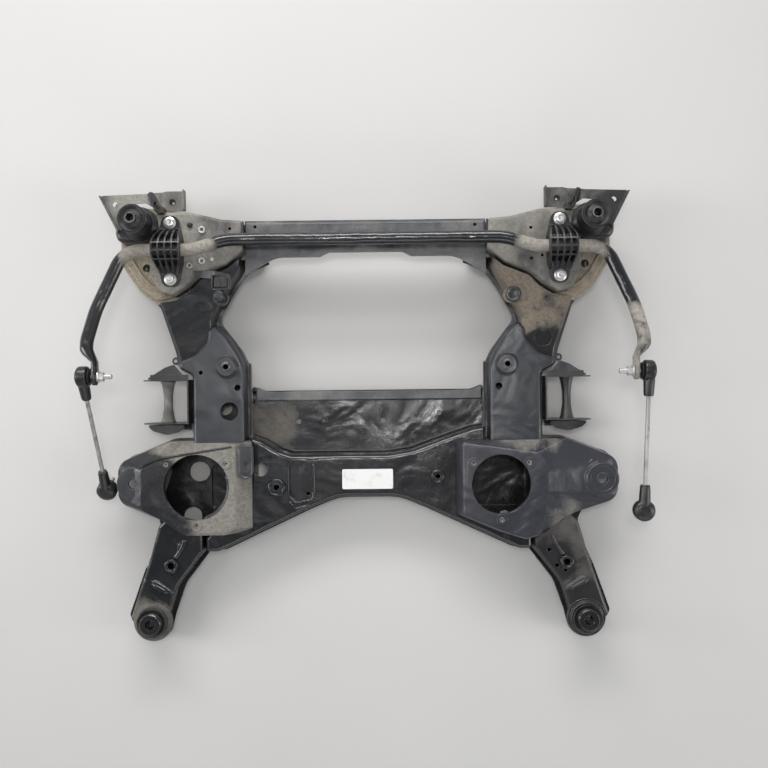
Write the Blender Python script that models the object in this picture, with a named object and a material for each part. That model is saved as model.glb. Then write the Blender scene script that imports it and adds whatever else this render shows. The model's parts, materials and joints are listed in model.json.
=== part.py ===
"""Front subframe of a car: pressed shells, mounting towers and a clamped anti-roll bar with its drop links.

The frame lies on its underside: +X is the right side, +Y points forwards and +Z is the vehicle's up.
All sizes below are millimetres, and MM turns them into Blender's metres.
"""

import math

import bmesh
import bpy
from mathutils import Matrix, Vector

MM = 0.001
GAP = 0.3
SLOPE_GAP = 0.6
SHEET = 2.5
ARC_STEP = math.radians(60)
SHARP_RADIUS = 9.0
GENTLE_TURN = math.radians(24)
TIGHT_RADIUS = 30.0
ROUND_SIDES = 12
SMALL_SIDES = 8
ENGINE_SIDES = 20
BAR_SIDES = 8
BAR_STEP = math.radians(28)

# Mounting points, mirrored about the middle plane
FRONT_MOUNT_X = 437.0
FRONT_MOUNT_Y = 381.0
REAR_MOUNT_X = 437.0
REAR_MOUNT_Y = -410.0
RACK_MOUNT_X = 280.0
RACK_MOUNT_Y = 102.0

# Levels of the sheets, from the ground up
SWAGE_DEPTH = 8.0
SEAM_Z = 40.0
MEMBER_TOP = 80.0
REAR_TOP = 72.0
CONSOLE_TOP = 104.0
CONSOLE_SHOULDER = 76.0
GUSSET_SEAM_Z = 63.0
GUSSET_TOP = 115.0
BEAM_FLOOR = 60.0
BEAM_SEAM_Z = 84.0
BEAM_TOP = 110.0
ARM_FLOOR_Z = 30.0
ARM_TOP = 64.0

# Side members
MEMBER_INNER_X = 240.0
MEMBER_OUTER_X = 386.0
MEMBER_REAR_Y = -54.0
NECK_INNER_X = 299.0
NECK_INNER_Y = 196.0
NECK_OUTER_X = 421.0
NECK_OUTER_Y = 229.0
MEMBER_FLANGE = 7.0
MEMBER_EDGE = 8.0

# Front cross beam
BEAM_FRONT_Y = 392.0
BEAM_REAR_Y = 319.0
BEAM_HAT_REAR_Y = 343.0
BEAM_END_X = 240.0
BEAM_NOTCH_X = 82.0
BEAM_NOTCH_DEPTH = 9.0
BEAM_FLANGE = 5.0

# Front gusset boxes and towers
GUSSET_FRONT_Y = 406.0
GUSSET_OUTER_X = 493.0
GUSSET_FLANGE = 8.0
TOWER_INNER_X = 425.0
TOWER_OUTER_X = 491.0
TOWER_REAR_Y = 342.0
TOWER_FRONT_Y = 420.0
TOWER_SHOULDER_Z = 122.0
TOWER_TOP = 184.0
TOWER_RADIUS = 26.0
TOWER_BORE = 22.5
FRONT_SLEEVE_RADIUS = 10.5
FRONT_SLEEVE_BORE = 6.5
FRONT_SLEEVE_TOP = 196.0

# Front brackets
BRACKET_TIP_X = 515.0
BRACKET_TIP_Y = 437.0
BRACKET_TAB_Z = 97.0
BRACKET_TAB_INNER_X = 354.0
BRACKET_TAB_FRONT_Y = 450.0

# Anti-roll bar and its seats
BAR_RADIUS = 12.3
BAR_AXIS_Y = 328.0
BAR_AXIS_Z = 138.0
BAR_MIDDLE_Y = 347.0
CLAMP_X = 380.0
CLAMP_WIDTH = 55.0
CLAMP_BOLT_PITCH = 110.0
CLAMP_BOLT_FOOT = 8.0
BUSH_WALL = 7.0
BUSH_LENGTH = 50.0
CLAMP_SKIN = 3.6
CLAMP_RIB = 3.0
CLAMP_RIB_COUNT = 5
CLAMP_ARCH_HEIGHT = 12.0
BOLT_RADIUS = 5.0
BOLT_FLANGE_RADIUS = 12.0
BOLT_HEAD_FLATS = 16.0

# Drop links
EYE_X = 506.5
EYE_Y = 84.0
EYE_Z = 190.0
EYE_THICKNESS = 11.0
EYE_RADIUS = 16.0
LINK_X = 531.0
LINK_LENGTH = 262.0
LINK_ROD_RADIUS = 4.0
SOCKET_RADIUS = 20.0
SOCKET_THICKNESS = 26.0
BALL_RADIUS = 8.0
STUD_RADIUS = 5.0
LEFT_LINK_SWING = 29.0
LEFT_LINK_TILT = 0.6
RIGHT_LINK_SWING = 0.0
RIGHT_LINK_TILT = 2.8

# Engine consoles with the rear control-arm ears
LEFT_ENGINE_X = 339.0
LEFT_ENGINE_Y = -136.0
LEFT_ENGINE_RADIUS = 65.0
RIGHT_ENGINE_X = 264.0
RIGHT_ENGINE_Y = -136.0
RIGHT_ENGINE_RADIUS = 59.0
LUG_HOLE_RADIUS = 5.5
EAR_X = 467.0
EAR_Y = -129.0
EAR_RADIUS = 38.0
EAR_HOLE_RADIUS = 9.5
CONSOLE_FRONT_Y = -43.0
CONSOLE_REAR_Y = -229.0

# Rear arms and their bushes
ARM_END_RADIUS = 44.0
ARM_BORE = 26.0
REAR_BUSH_TOP = 92.0
REAR_SLEEVE_RADIUS = 12.5
REAR_SLEEVE_BORE = 8.0

# Front control-arm brackets on the side members
ARM_BRACKET_FRONT_Y = 75.0
ARM_BRACKET_REAR_Y = -9.0
ARM_BRACKET_OUTER_X = 449.0
ARM_BRACKET_WALL_X = 357.0
ARM_BRACKET_PIN_X = 404.0
ARM_BRACKET_PIN_Z = 54.0

# Finish of each material: colour, roughness, metallic
PAINT = ("black_paint", (0.02, 0.022, 0.027, 1.0), 0.35, 0.3)
BRIGHT = ("bright_zinc", (0.6, 0.6, 0.58, 1.0), 0.3, 1.0)
STEEL = ("bare_steel", (0.28, 0.27, 0.26, 1.0), 0.4, 1.0)
RUBBER = ("rubber", (0.015, 0.015, 0.015, 1.0), 0.8, 0.0)
MOULDED = ("moulded_plastic", (0.03, 0.03, 0.03, 1.0), 0.55, 0.0)

# Bent rear sheet and its holes
PLATE_TOP = SWAGE_DEPTH + SHEET
LIP_FRONT_Y = 64.0
LIP_DEPTH = 11.0
LIP_HEIGHT = 11.0
ARM_RISE_FRONT_Y = -276.0
ARM_RISE_REAR_Y = -308.0
PLATE_MARGIN = 6.5
SHELF_HOLES = ((-144, -11, 5.5), (-92, -9, 4.0), (-29, -10, 4.0), (31, -11, 5.5), (94, -9, 6.0), (148, 4, 5.0))
ARCH = [(62, -163, 90), (120, -187, 80), (264, -254, 60), (303, -272, 26)]

# Middle stretch of the front cross beam
BEAM_EDGE = [
    (BEAM_NOTCH_X - 9, BEAM_REAR_Y + BEAM_NOTCH_DEPTH, 10, 1), (BEAM_NOTCH_X + 9, BEAM_REAR_Y, 10, 1),
    (180, BEAM_REAR_Y, 60, 1), (BEAM_END_X - 0.3, 282, 0, 0), (BEAM_END_X - 0.3, BEAM_FRONT_Y, 0, 0),
]

# Seats of the bar clamps
CLAMP_SEAT = GUSSET_TOP + GAP
CLAMP_FLOOR = 5.0

# Turns that lay a solid along another axis
TO_X = Matrix.Rotation(math.radians(90), 4, "Y")
TO_Y = Matrix.Rotation(math.radians(-90), 4, "X")
TO_MINUS_Y = Matrix.Rotation(math.radians(90), 4, "X")


def material(finish):
    """The named material, made once, with its values on the shader."""
    name, colour, roughness, metallic = finish
    found = bpy.data.materials.get(name)
    if found:
        return found
    made = bpy.data.materials.new(name)
    made.use_nodes = True
    shader = made.node_tree.nodes["Principled BSDF"]
    shader.inputs["Base Color"].default_value = colour
    shader.inputs["Roughness"].default_value = roughness
    shader.inputs["Metallic"].default_value = metallic
    return made


def outline(corners, inset=0.0):
    """Points of a closed anticlockwise outline, moved inwards by inset.

    Each corner is (x, y, radius) or (x, y, radius, steps of its arc). An inset changes no corner's number
    of points, so insets can be bridged, and so can outlines whose corners state the same steps.
    """
    edges = []
    for index, corner in enumerate(corners):
        start = Vector(corner[:2])
        along = (Vector(corners[(index + 1) % len(corners)][:2]) - start).normalized()
        edges.append((start + inset * Vector((-along.y, along.x)), along))
    points = []
    for index, corner in enumerate(corners):
        (before, into), (after, out) = edges[index - 1], edges[index]
        turn = math.atan2(into.cross(out), into.dot(out))
        meeting = before + into * ((after - before).cross(out) / into.cross(out))
        steps = arc_steps(corner, turn)
        if steps == 0:
            points.append(meeting)
            continue
        radius = max(corner[2] - math.copysign(inset, turn), 0.4)
        tangent = meeting - into * (radius * math.tan(abs(turn) / 2))
        side = math.copysign(1, turn) * Vector((-into.y, into.x))
        centre = tangent + side * radius
        for step in range(steps + 1):
            points.append(centre + Matrix.Rotation(turn * step / steps, 2) @ (tangent - centre))
    return points


def arc_steps(corner, turn):
    """The smallest and the gentlest corners stay sharp, a tight one is one facet, and a wide one follows its turn.

    A corner's own number of steps comes first.
    """
    if len(corner) > 3:
        return corner[3]
    if corner[2] < SHARP_RADIUS or abs(turn) < GENTLE_TURN:
        return 0
    return 1 if corner[2] < TIGHT_RADIUS else max(1, round(abs(turn) / ARC_STEP))


def mirrored(corners):
    """The same outline on the other side of the middle plane, still anticlockwise."""
    return [(-x, y, *rest) for x, y, *rest in reversed(corners)]


def on_side(side, corners):
    return corners if side > 0 else mirrored(corners)


def whole(corners):
    """A full outline from its right half, listed from the rear middle round to the front middle."""
    return corners + mirrored(corners)


def level(points, height):
    """Points raised to a height, which is a number or a plane over (x, y)."""
    if callable(height):
        return [(p[0], p[1], height(p[0], p[1])) for p in points]
    return [(p[0], p[1], height) for p in points]


def lowered(height, drop):
    if callable(height):
        return lambda x, y: height(x, y) - drop
    return height - drop


def loft(rings):
    """A closed solid through rings of equally many points, with a face over each end."""
    count = len(rings[0])
    points = [tuple(point) for ring in rings for point in ring]
    faces = [list(range(count))[::-1], [len(points) - count + i for i in range(count)]]
    for start in range(0, len(points) - count, count):
        for i in range(count):
            j = (i + 1) % count
            faces.append([start + i, start + j, start + count + j, start + count + i])
    return points, faces


def tray(levels, sheet=SHEET, rim=None, flange=0.0):
    """A drawn sheet, open at its first level and closed at its last.

    Each level is (corners, inset, height, lean) of the outer skin, where lean is 0 on a wall and 1 on a flat.
    The last two are its rolled edge. A flange runs out to the rim's outline, or by its own width.
    """
    rise = rise_of(levels)
    corners, inset, height, _ = levels[-1]
    rings = [level(outline(corners, inset), lowered(height, rise * sheet))]
    for corners, inset, height, lean in reversed(levels[:-1]):
        inner = lowered(height, rise * sheet * lean)
        rings.append(level(outline(corners, inset + sheet * (1 - lean)), inner))
    if rim or flange:
        corners, inset, height, _ = levels[0]
        edge = outline(rim or corners, 0.0 if rim else inset - flange)
        rings.append(level(edge, height))
        rings.append(level(edge, lowered(height, -rise * sheet)))
        rings.append(level(outline(corners, inset), lowered(height, -rise * sheet)))
        levels = levels[1:]
    for corners, inset, height, _ in levels:
        rings.append(level(outline(corners, inset), height))
    return loft(rings)


def rise_of(levels):
    return math.copysign(1, plain(levels[-1][2]) - plain(levels[0][2]))


def plain(height):
    return height(0, 0) if callable(height) else height


def rolled_edge(corners, inset, top, radius, rise=1):
    """The last two levels of a tray: where its edge starts to turn, and its flat face."""
    return [
        (corners, inset, lowered(top, rise * radius), 0),
        (corners, inset + radius, top, 1),
    ]


def envelope(levels, flange=0.0, beyond=60.0, grow=GAP):
    """What a tray's outside takes up, with a clearance round it, to cut a neighbour with."""
    rise = rise_of(levels)
    corners, inset, height, _ = levels[0]
    edge = outline(corners, inset - flange - grow)
    rings = [level(edge, lowered(height, rise * beyond))]
    if flange:
        rings.append(level(edge, lowered(height, -rise * (SHEET + grow))))
        rings.append(level(outline(corners, inset - grow), lowered(height, -rise * (SHEET + grow))))
        levels = levels[1:]
    for corners, inset, height, _ in levels[:-1]:
        rings.append(level(outline(corners, inset - grow), height))
    corners, inset, height, _ = levels[-1]
    rings.append(level(outline(corners, inset - grow), lowered(height, -rise * grow)))
    return loft(rings)


def prism(corners, bottom, top, inset=0.0):
    points = outline(corners, inset)
    return loft([level(points, bottom), level(points, top)])


def circle(x, y, radius, sides=SMALL_SIDES):
    steps = [2 * math.pi * (i + 0.5) / sides for i in range(sides)]
    return [(x + radius * math.cos(a), y + radius * math.sin(a)) for a in steps]


def drum(x, y, radius, bottom, top, sides=SMALL_SIDES):
    """An upright cylinder."""
    points = circle(x, y, radius, sides)
    return loft([level(points, bottom), level(points, top)])


def turned(profile, sides=ROUND_SIDES, hollow=False):
    """A solid of revolution about +Z from (radius, height) points.

    A hollow one's profile is a closed loop beside the axis. The others start and end on flat end faces.
    """
    rings = [level(circle(0, 0, radius, sides), height) for radius, height in profile]
    if not hollow:
        return loft(rings)
    points, faces = loft(rings + rings[:1])
    count = len(rings) * sides
    return points[:count], [[i % count for i in face] for face in faces[2:]]


def bar_stock(points, low, high, axis="x"):
    """A section drawn along X or Y: points are (y, z) for X and (x, z) for Y."""
    if axis == "x":
        return loft([[(low, a, b) for a, b in points], [(high, a, b) for a, b in points]])
    return loft([[(a, low, b) for a, b in points], [(a, high, b) for a, b in points]])


def box(x0, x1, y0, y1, z0, z1):
    corners = [(x0, y0), (x1, y0), (x1, y1), (x0, y1)]
    return loft([level(corners, z0), level(corners, z1)])


def moved(solid, matrix):
    points, faces = solid
    return [tuple(matrix @ Vector(point)) for point in points], faces


def at(x, y, z):
    return Matrix.Translation((x, y, z))


def flipped(side, solid):
    """The solid itself on the right, and its mirror image on the left."""
    points, faces = solid
    return [(side * x, y, z) for x, y, z in points], faces


def together(solids):
    """Solids that don't touch, as one mesh, which saves a Boolean for each."""
    points, faces = [], []
    for more, sides in solids:
        faces += [[len(points) + i for i in side] for side in sides]
        points += more
    return points, faces


def mesh_of(name, solid, origin):
    points, faces = solid
    mesh = bpy.data.meshes.new(name)
    mesh.from_pydata([(Vector(p) - Vector(origin)) * MM for p in points], [], faces)
    form = bmesh.new()
    form.from_mesh(mesh)
    bmesh.ops.recalc_face_normals(form, faces=form.faces)
    if form.calc_volume(signed=True) < 0:
        bmesh.ops.reverse_faces(form, faces=form.faces)
    form.to_mesh(mesh)
    form.free()
    return mesh


def piece(name, solid, finish, origin=(0, 0, 0)):
    """One sub-part, placed with its own origin where it turns or stands."""
    made = bpy.data.objects.new(name, mesh_of(name, solid, origin))
    made.location = Vector(origin) * MM
    made.data.materials.append(material(finish))
    made.data.polygons.foreach_set("use_smooth", [True] * len(made.data.polygons))
    made.data.set_sharp_from_angle(angle=math.radians(32))
    bpy.context.scene.collection.objects.link(made)
    return made


def work(body, solid, operation):
    """Joins a solid to the piece, cuts it out or keeps what they share, with a hidden helper."""
    helper = bpy.data.objects.new(body.name + "_tool", mesh_of(body.name + "_tool", solid, (0, 0, 0)))
    helper.hide_render = True
    helper.display_type = "WIRE"
    bpy.context.scene.collection.objects.link(helper)
    step = body.modifiers.new(operation.lower(), "BOOLEAN")
    step.operation = operation
    step.solver = "EXACT"
    step.object = helper


def add(body, *solids):
    for solid in solids:
        work(body, solid, "UNION")


def cut(body, *solids):
    for solid in solids:
        work(body, solid, "DIFFERENCE")


def keep(body, solid):
    work(body, solid, "INTERSECT")


def sunk(body, corners, top, depth):
    """A pocket pressed down into a sheet whose upper face is at top."""
    add(body, prism(corners, lowered(top, depth + SHEET), lowered(top, SHEET / 2), inset=-SHEET))
    cut(body, prism(corners, lowered(top, depth), lowered(top, -20)))


# Rear cross member: one lower sheet with its front lip and raised arm floors, and an upper shell


def floor_line(lift):
    """The bent sheet's upper face seen from the side, raised by lift: (y, z) from its front lip backwards."""
    raised = PLATE_TOP + LIP_HEIGHT + lift
    return [
        (LIP_FRONT_Y + 20, raised),
        (LIP_FRONT_Y - LIP_DEPTH, raised),
        (LIP_FRONT_Y - LIP_DEPTH - 6, PLATE_TOP + lift),
        (ARM_RISE_FRONT_Y, PLATE_TOP + lift),
        (ARM_RISE_REAR_Y, ARM_FLOOR_Z + SHEET + lift),
        (REAR_MOUNT_Y - 80, ARM_FLOOR_Z + SHEET + lift),
    ]


def arm_outline(margin):
    """The arm's edges from its inner root round the mount and back up outside, spread by margin."""
    x, y, r = REAR_MOUNT_X, REAR_MOUNT_Y, ARM_END_RADIUS
    return [
        (x - 106 - margin, y + 140, 12),
        (x - 81 - margin, y + 106, 40),
        (x - 54 - margin, y + 71, 60),
        (x - 33 - margin, y + 10, 50),
        (x - 22 - margin, y - 0.64 * r - margin, 20),
        (x + 23 + margin, y - 0.76 * r - margin, 20),
        (x + 50 + margin, y + 6, 10),
        (x + 7 + margin, y + 128, 80),
    ]


def ear_outline(margin):
    """The rounded tip that carries the control arm's rear bush."""
    tip = EAR_X + EAR_RADIUS + margin
    half = EAR_RADIUS + 5 + margin
    return [(tip, EAR_Y - half, 34, 3), (tip, EAR_Y + half, 34, 3)]


def plate_outline():
    arch = [(x, y - PLATE_MARGIN, r) for x, y, r in ARCH]
    half = arch + arm_outline(PLATE_MARGIN)
    half += [(433, CONSOLE_REAR_Y + 8, 20), (450, EAR_Y - 57, 20)] + ear_outline(3)
    half += [
        (402, MEMBER_REAR_Y - 0.5, 30),
        (MEMBER_INNER_X - 1, MEMBER_REAR_Y - 0.5, 5),
        (MEMBER_INNER_X - 1, LIP_FRONT_Y, 6),
        (MEMBER_INNER_X - 28, LIP_FRONT_Y - 11, 20),
    ]
    return whole(half)


def rear_crossmember_lower():
    top = floor_line(0)
    under = [(y, z - SHEET) for y, z in reversed(top)]
    body = piece("rear_crossmember_lower", bar_stock(top + under, -560, 560), PAINT)
    keep(body, prism(plate_outline(), -20, 80))
    for side in (1, -1):
        outer = [(222, -190, 8), (326, -190, 8), (326, -100, 8), (222, -100, 8)]
        middle = [(44, -148, 8), (168, -148, 8), (168, -96, 8), (44, -96, 8)]
        sunk(body, on_side(side, outer), PLATE_TOP, SWAGE_DEPTH)
        sunk(body, on_side(side, middle), PLATE_TOP, SWAGE_DEPTH)
    holes = [drum(x, y, r, -5, 40) for x, y, r in SHELF_HOLES]
    holes += [drum(side * EAR_X, EAR_Y, EAR_HOLE_RADIUS, -5, 40) for side in (1, -1)]
    holes += [drum(side * REAR_MOUNT_X, REAR_MOUNT_Y, REAR_SLEEVE_RADIUS + 5, 0, 60) for side in (1, -1)]
    holes += [drum(-348, -73, 14, -5, 40), drum(-363, -208, 14, -5, 40), drum(-378, -140, 19, -5, 40)]
    holes += [drum(364, -120, 24, -5, 40), drum(282, -212, 12, -5, 40)]
    cut(body, together(holes))
    add(body, drum(SHELF_HOLES[1][0], SHELF_HOLES[1][1], 8.5, PLATE_TOP - 1, PLATE_TOP + 5, 6))
    cut(body, drum(SHELF_HOLES[1][0], SHELF_HOLES[1][1], 4, -5, 40))
    return body


def console_base(side):
    if side > 0:
        inner = [(172, -200, 8, 0), (256, -233, 30, 1), (314, -251, 14, 1), (350, -243, 20, 1), (414, -201, 30, 1)]
        front = [(400, CONSOLE_FRONT_Y - 2, 40, 2), (172, CONSOLE_FRONT_Y - 3, 8, 0)]
    else:
        inner = [(229, -224, 8, 0), (262, -235, 20, 1), (364, -235, 20, 1), (414, -203, 30, 1)]
        front = [(400, CONSOLE_FRONT_Y, 40, 2), (229, CONSOLE_FRONT_Y, 8, 0)]
    return inner + ear_outline(0) + front


def console_crown(side):
    """The raised plate round the engine mount, with a corner for each corner of the base."""
    if side > 0:
        return [
            (190, -196, 8, 0), (258, -226, 28, 1), (312, -243, 12, 1), (338, -235, 16, 1), (352, -196, 20, 1),
            (356, -152, 14, 3), (356, -112, 14, 3), (346, -77, 20, 2), (190, -55, 8, 0),
        ]
    return [
        (262, -218, 10, 0), (284, -228, 16, 1), (362, -228, 18, 1), (408, -197, 20, 1),
        (450, -176, 12, 3), (450, -100, 12, 3), (418, -82, 20, 2), (262, -53, 10, 0),
    ]


def console_levels(side):
    base, crown = console_base(side), console_crown(side)
    return [
        (base, 0, PLATE_TOP + GAP, 0),
        (base, 4, CONSOLE_SHOULDER, 0.6),
        (crown, -3, CONSOLE_TOP - 4, 0.8),
        (crown, 3, CONSOLE_TOP, 1),
    ]


def both(side, levels):
    """The levels of a right-hand pressing, or those of its mirror image."""
    return [(on_side(side, corners), *rest) for corners, *rest in levels]


def engine_console(side, name):
    levels = both(side, console_levels(side))
    body = piece(name, tray(levels), PAINT)
    right = side > 0
    x = RIGHT_ENGINE_X if right else -LEFT_ENGINE_X
    y = RIGHT_ENGINE_Y if right else LEFT_ENGINE_Y
    radius = RIGHT_ENGINE_RADIUS if right else LEFT_ENGINE_RADIUS
    pitch = radius + LUG_HOLE_RADIUS + 5
    lugs = [(x + pitch * math.cos(math.radians(a)), y + pitch * math.sin(math.radians(a))) for a in (38, 142, 270)]
    ear_top = CONSOLE_SHOULDER + 16
    add(body, drum(side * EAR_X, EAR_Y, EAR_RADIUS - 7, CONSOLE_SHOULDER - 3, ear_top, ROUND_SIDES))
    cut(body, drum(side * EAR_X, EAR_Y, EAR_RADIUS - 10, CONSOLE_SHOULDER - 30, ear_top - SHEET, ROUND_SIDES))
    cut(body, drum(x, y, radius, CONSOLE_TOP - 30, CONSOLE_TOP + 20, ENGINE_SIDES))
    holes = [drum(a, b, LUG_HOLE_RADIUS, CONSOLE_TOP - 20, CONSOLE_TOP + 20) for a, b in lugs]
    holes.append(drum(side * EAR_X, EAR_Y, EAR_HOLE_RADIUS, CONSOLE_SHOULDER - 20, ear_top + 20))
    cut(body, together(holes))
    mouth = EAR_X - 0.35 * EAR_RADIUS
    cut(body, flipped(side, box(mouth, EAR_X + 80, EAR_Y - 27, EAR_Y + 27, PLATE_TOP + 14, CONSOLE_SHOULDER - 8)))
    if not right:
        slot = [(-249, -120, 4), (-236, -118, 4), (-236, -62, 4), (-249, -60, 4)]
        cut(body, prism(slot, CONSOLE_SHOULDER - 20, CONSOLE_TOP))
    return body


def upper_levels():
    front = [
        (238, -21, 4), (214, -24, 14), (146, -47, 30), (88, -68, 40), (40, -75, 40),
        (-155, -75, 20), (-178, -67, 20), (-212, -47, 20), (-238, -38, 4),
    ]
    right = ARCH + [(331, -271, 8), (331, -240, 4), (238, -140, 4)]
    left = mirrored(right)
    corners = right + front + left
    return [(corners, 0, PLATE_TOP + GAP, 0)] + rolled_edge(corners, 2, REAR_TOP, 9)


def rear_crossmember_upper():
    body = piece("rear_crossmember_upper", tray(upper_levels()), PAINT)
    pocket = [(-160, -158, 10), (-146, -172, 8), (-113, -166, 10), (-112, -88, 8), (-160, -88, 10)]
    sunk(body, pocket, REAR_TOP, 7)
    add(body, drum(-184, -141, 17, REAR_TOP - 2, REAR_TOP + 5, ROUND_SIDES))
    add(body, drum(140, -122, 13, REAR_TOP - 2, REAR_TOP + 4, ROUND_SIDES))
    places = ((-203, -104, 15), (-184, -141, 6), (140, -122, 5), (-121, -155, 4))
    holes = [drum(x, y, radius, REAR_TOP - 20, REAR_TOP + 20) for x, y, radius in places]
    cut(body, together(holes))
    for side in (1, -1):
        cut(body, envelope(both(side, console_levels(side))))
    return body


def rear_arm_height(x, y):
    return ARM_TOP + 0.07 * (y - REAR_MOUNT_Y)


def arm_levels():
    corners = arm_outline(0) + [(424, -214, 20), (400, -190, 8), (331, -215, 8)]
    return [(corners, 0, 0.0, 0)] + rolled_edge(corners, 3, rear_arm_height, 7)


def rear_arm(side, name):
    body = piece(name, tray(both(side, arm_levels())), PAINT)
    x, y = side * REAR_MOUNT_X, REAR_MOUNT_Y
    tube_top = REAR_BUSH_TOP - 14
    add(body, drum(x, y, ARM_BORE + 8, ARM_TOP - 2, ARM_TOP + 6, ROUND_SIDES))
    add(body, drum(x, y, ARM_BORE + 3, ARM_FLOOR_Z + SHEET - 2, tube_top, ROUND_SIDES))
    cut(body, drum(x, y, ARM_BORE, 0, 150, ROUND_SIDES))
    add(body, drum(side * 397, -296, 13, ARM_TOP, ARM_TOP + 13, ROUND_SIDES))
    holes = [drum(side * 397, -296, 7, 0, 150), drum(side * 395, -313, 3.5, 0, 150)]
    if side > 0:
        holes += [drum(378, -304, 4, 0, 150), drum(362, -272, 4, 0, 150)]
    cut(body, together(holes))
    low = floor_line(GAP)
    ground = [(LIP_FRONT_Y + 20, -40)] + low + [(REAR_MOUNT_Y - 80, -40)]
    cut(body, bar_stock(ground, -600, 600))
    cut(body, envelope(both(side, console_levels(side)), grow=SLOPE_GAP))
    cut(body, envelope(upper_levels()))
    return body


def rear_bush(side, word):
    x, y = side * REAR_MOUNT_X, REAR_MOUNT_Y
    inner, outer = REAR_SLEEVE_RADIUS + GAP, ARM_BORE - GAP
    low, seat = ARM_FLOOR_Z + SHEET + GAP, REAR_BUSH_TOP - 14 + GAP
    profile = [
        (inner, low), (outer, low), (outer, seat), (outer + 4, seat), (outer + 3, seat + 4),
        (outer - 5, seat + 1), (inner, seat + 6),
    ]
    piece(f"rear_bush_rubber_{word}", moved(turned(profile, hollow=True), at(x, y, 0)), RUBBER, (x, y, 0))
    bore, sleeve, head = REAR_SLEEVE_BORE, REAR_SLEEVE_RADIUS, REAR_SLEEVE_RADIUS + 9
    under = REAR_BUSH_TOP - 6
    profile = [
        (bore, low), (sleeve, low), (sleeve, under), (head, under), (head, REAR_BUSH_TOP - 2),
        (head - 2, REAR_BUSH_TOP), (bore, REAR_BUSH_TOP),
    ]
    piece(f"rear_bush_sleeve_{word}", moved(turned(profile, hollow=True), at(x, y, 0)), STEEL, (x, y, 0))


# Side members: a lower pan, an upper shell and the front cover between the shell and the gusset

def neck_inner(margin):
    """The inner edge from the beam's fillet down past the waist, spread by margin towards the middle."""
    x, y = NECK_INNER_X - margin, NECK_INNER_Y
    inner = MEMBER_INNER_X - margin
    return [
        (x - 60, y + 103, 44), (x - 34, y + 66, 60), (x - 5, y + 16, 40), (x + 1, y - 3, 10),
        (x - 26, y - 38, 60), (inner + 11, y - 68, 50), (inner, y - 92, 30),
    ]


def member_levels():
    rear = MEMBER_REAR_Y + MEMBER_FLANGE + 11
    wall = ARM_BRACKET_WALL_X - MEMBER_FLANGE
    outer = [
        (wall, rear, 8), (wall, ARM_BRACKET_FRONT_Y + 18, 8), (MEMBER_OUTER_X - 7, 108, 14),
        (MEMBER_OUTER_X - 2, 135, 40),
        (MEMBER_OUTER_X + 11, 175, 60), (NECK_OUTER_X - 7, NECK_OUTER_Y - 2, 14), (446, 268, 24),
        (440, 310, 20), (400, 336, 20), (212, 336, 10), (206, 316, 6),
    ]
    corners = [(MEMBER_INNER_X + MEMBER_FLANGE, rear, 8)] + outer + neck_inner(-MEMBER_FLANGE)
    return [(corners, 0, SEAM_Z, 0)] + rolled_edge(corners, 4, 0.0, 8, rise=-1)


def side_member_lower(side, name):
    levels = both(side, member_levels())
    body = piece(name, tray(levels, flange=MEMBER_FLANGE), PAINT)
    x, y = side * RACK_MOUNT_X, RACK_MOUNT_Y
    holes = [drum(x, y, 8, -5, 20), drum(side * 300, 20, 17, -5, 20), drum(side * 350, 230, 20, -5, 20)]
    cut(body, together(holes))
    eyelet = drum(side * (MEMBER_OUTER_X + 5), 116, 8, SEAM_Z - SHEET, SEAM_Z)
    add(body, eyelet)
    cut(body, drum(side * (MEMBER_OUTER_X + 6), 116, 3.5, SEAM_Z - 20, SEAM_Z + 20))
    return body


def shell_levels():
    inner = MEMBER_INNER_X + 4
    corners = [
        (inner, -70, 6), (ARM_BRACKET_WALL_X - 6, -70, 6), (ARM_BRACKET_WALL_X - 6, 84, 8),
        (MEMBER_OUTER_X - 8, 98, 10), (MEMBER_OUTER_X - 8, 115, 10), (346, 128, 24), (321, 156, 20),
        (319, 178, 8), (NECK_INNER_X + 4, NECK_INNER_Y - 7, 8), (NECK_INNER_X - 24, NECK_INNER_Y - 36, 60),
        (inner + 10, NECK_INNER_Y - 69, 50), (inner, NECK_INNER_Y - 92, 30),
    ]
    return [(corners, 0, SEAM_Z + GAP, 0)] + rolled_edge(corners, 2, MEMBER_TOP, 7)


def side_member_upper(side, name):
    body = piece(name, tray(both(side, shell_levels())), PAINT)
    holes = [drum(side * RACK_MOUNT_X, RACK_MOUNT_Y, 12 + GAP, MEMBER_TOP - 20, MEMBER_TOP + 20, ROUND_SIDES)]
    if side > 0:
        holes += [drum(264, 58, 7, MEMBER_TOP - 20, MEMBER_TOP + 20)]
    else:
        holes += [drum(-332, 91, 4, 60, 100), drum(-259, 60, 6.5, 60, 100), drum(-276, 13, 18.5, 60, 100)]
    cut(body, together(holes))
    cut(body, envelope(both(side, console_levels(side))))
    return body


def rack_boss(side, word):
    x, y = side * RACK_MOUNT_X, RACK_MOUNT_Y
    seat = MEMBER_TOP + GAP
    profile = [
        (6.2, SHEET + GAP), (12, SHEET + GAP), (12, seat), (21.5, seat), (21.5, seat + 8),
        (17.5, seat + 12), (6.2, seat + 12),
    ]
    piece(f"rack_mount_{word}", moved(turned(profile, hollow=True), at(x, y, 0)), PAINT, (x, y, 0))


def cover_height(x, y):
    return 68 + 0.2 * (y - 130)


def cover_levels():
    flange = MEMBER_FLANGE
    corners = [
        (330, 92, 8), (MEMBER_OUTER_X - 6, 104, 14), (MEMBER_OUTER_X - 2, 135, 40), (MEMBER_OUTER_X + 11, 175, 60),
        (NECK_OUTER_X - 8, NECK_OUTER_Y - 2, 14), (436, 262, 20), (430, 330, 10), (245, 330, 10),
    ] + neck_inner(-flange)[:4] + [(NECK_INNER_X + 4, 150, 8)]
    return [(corners, 0, SEAM_Z + GAP, 0)] + rolled_edge(corners, 3, cover_height, 7)


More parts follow.
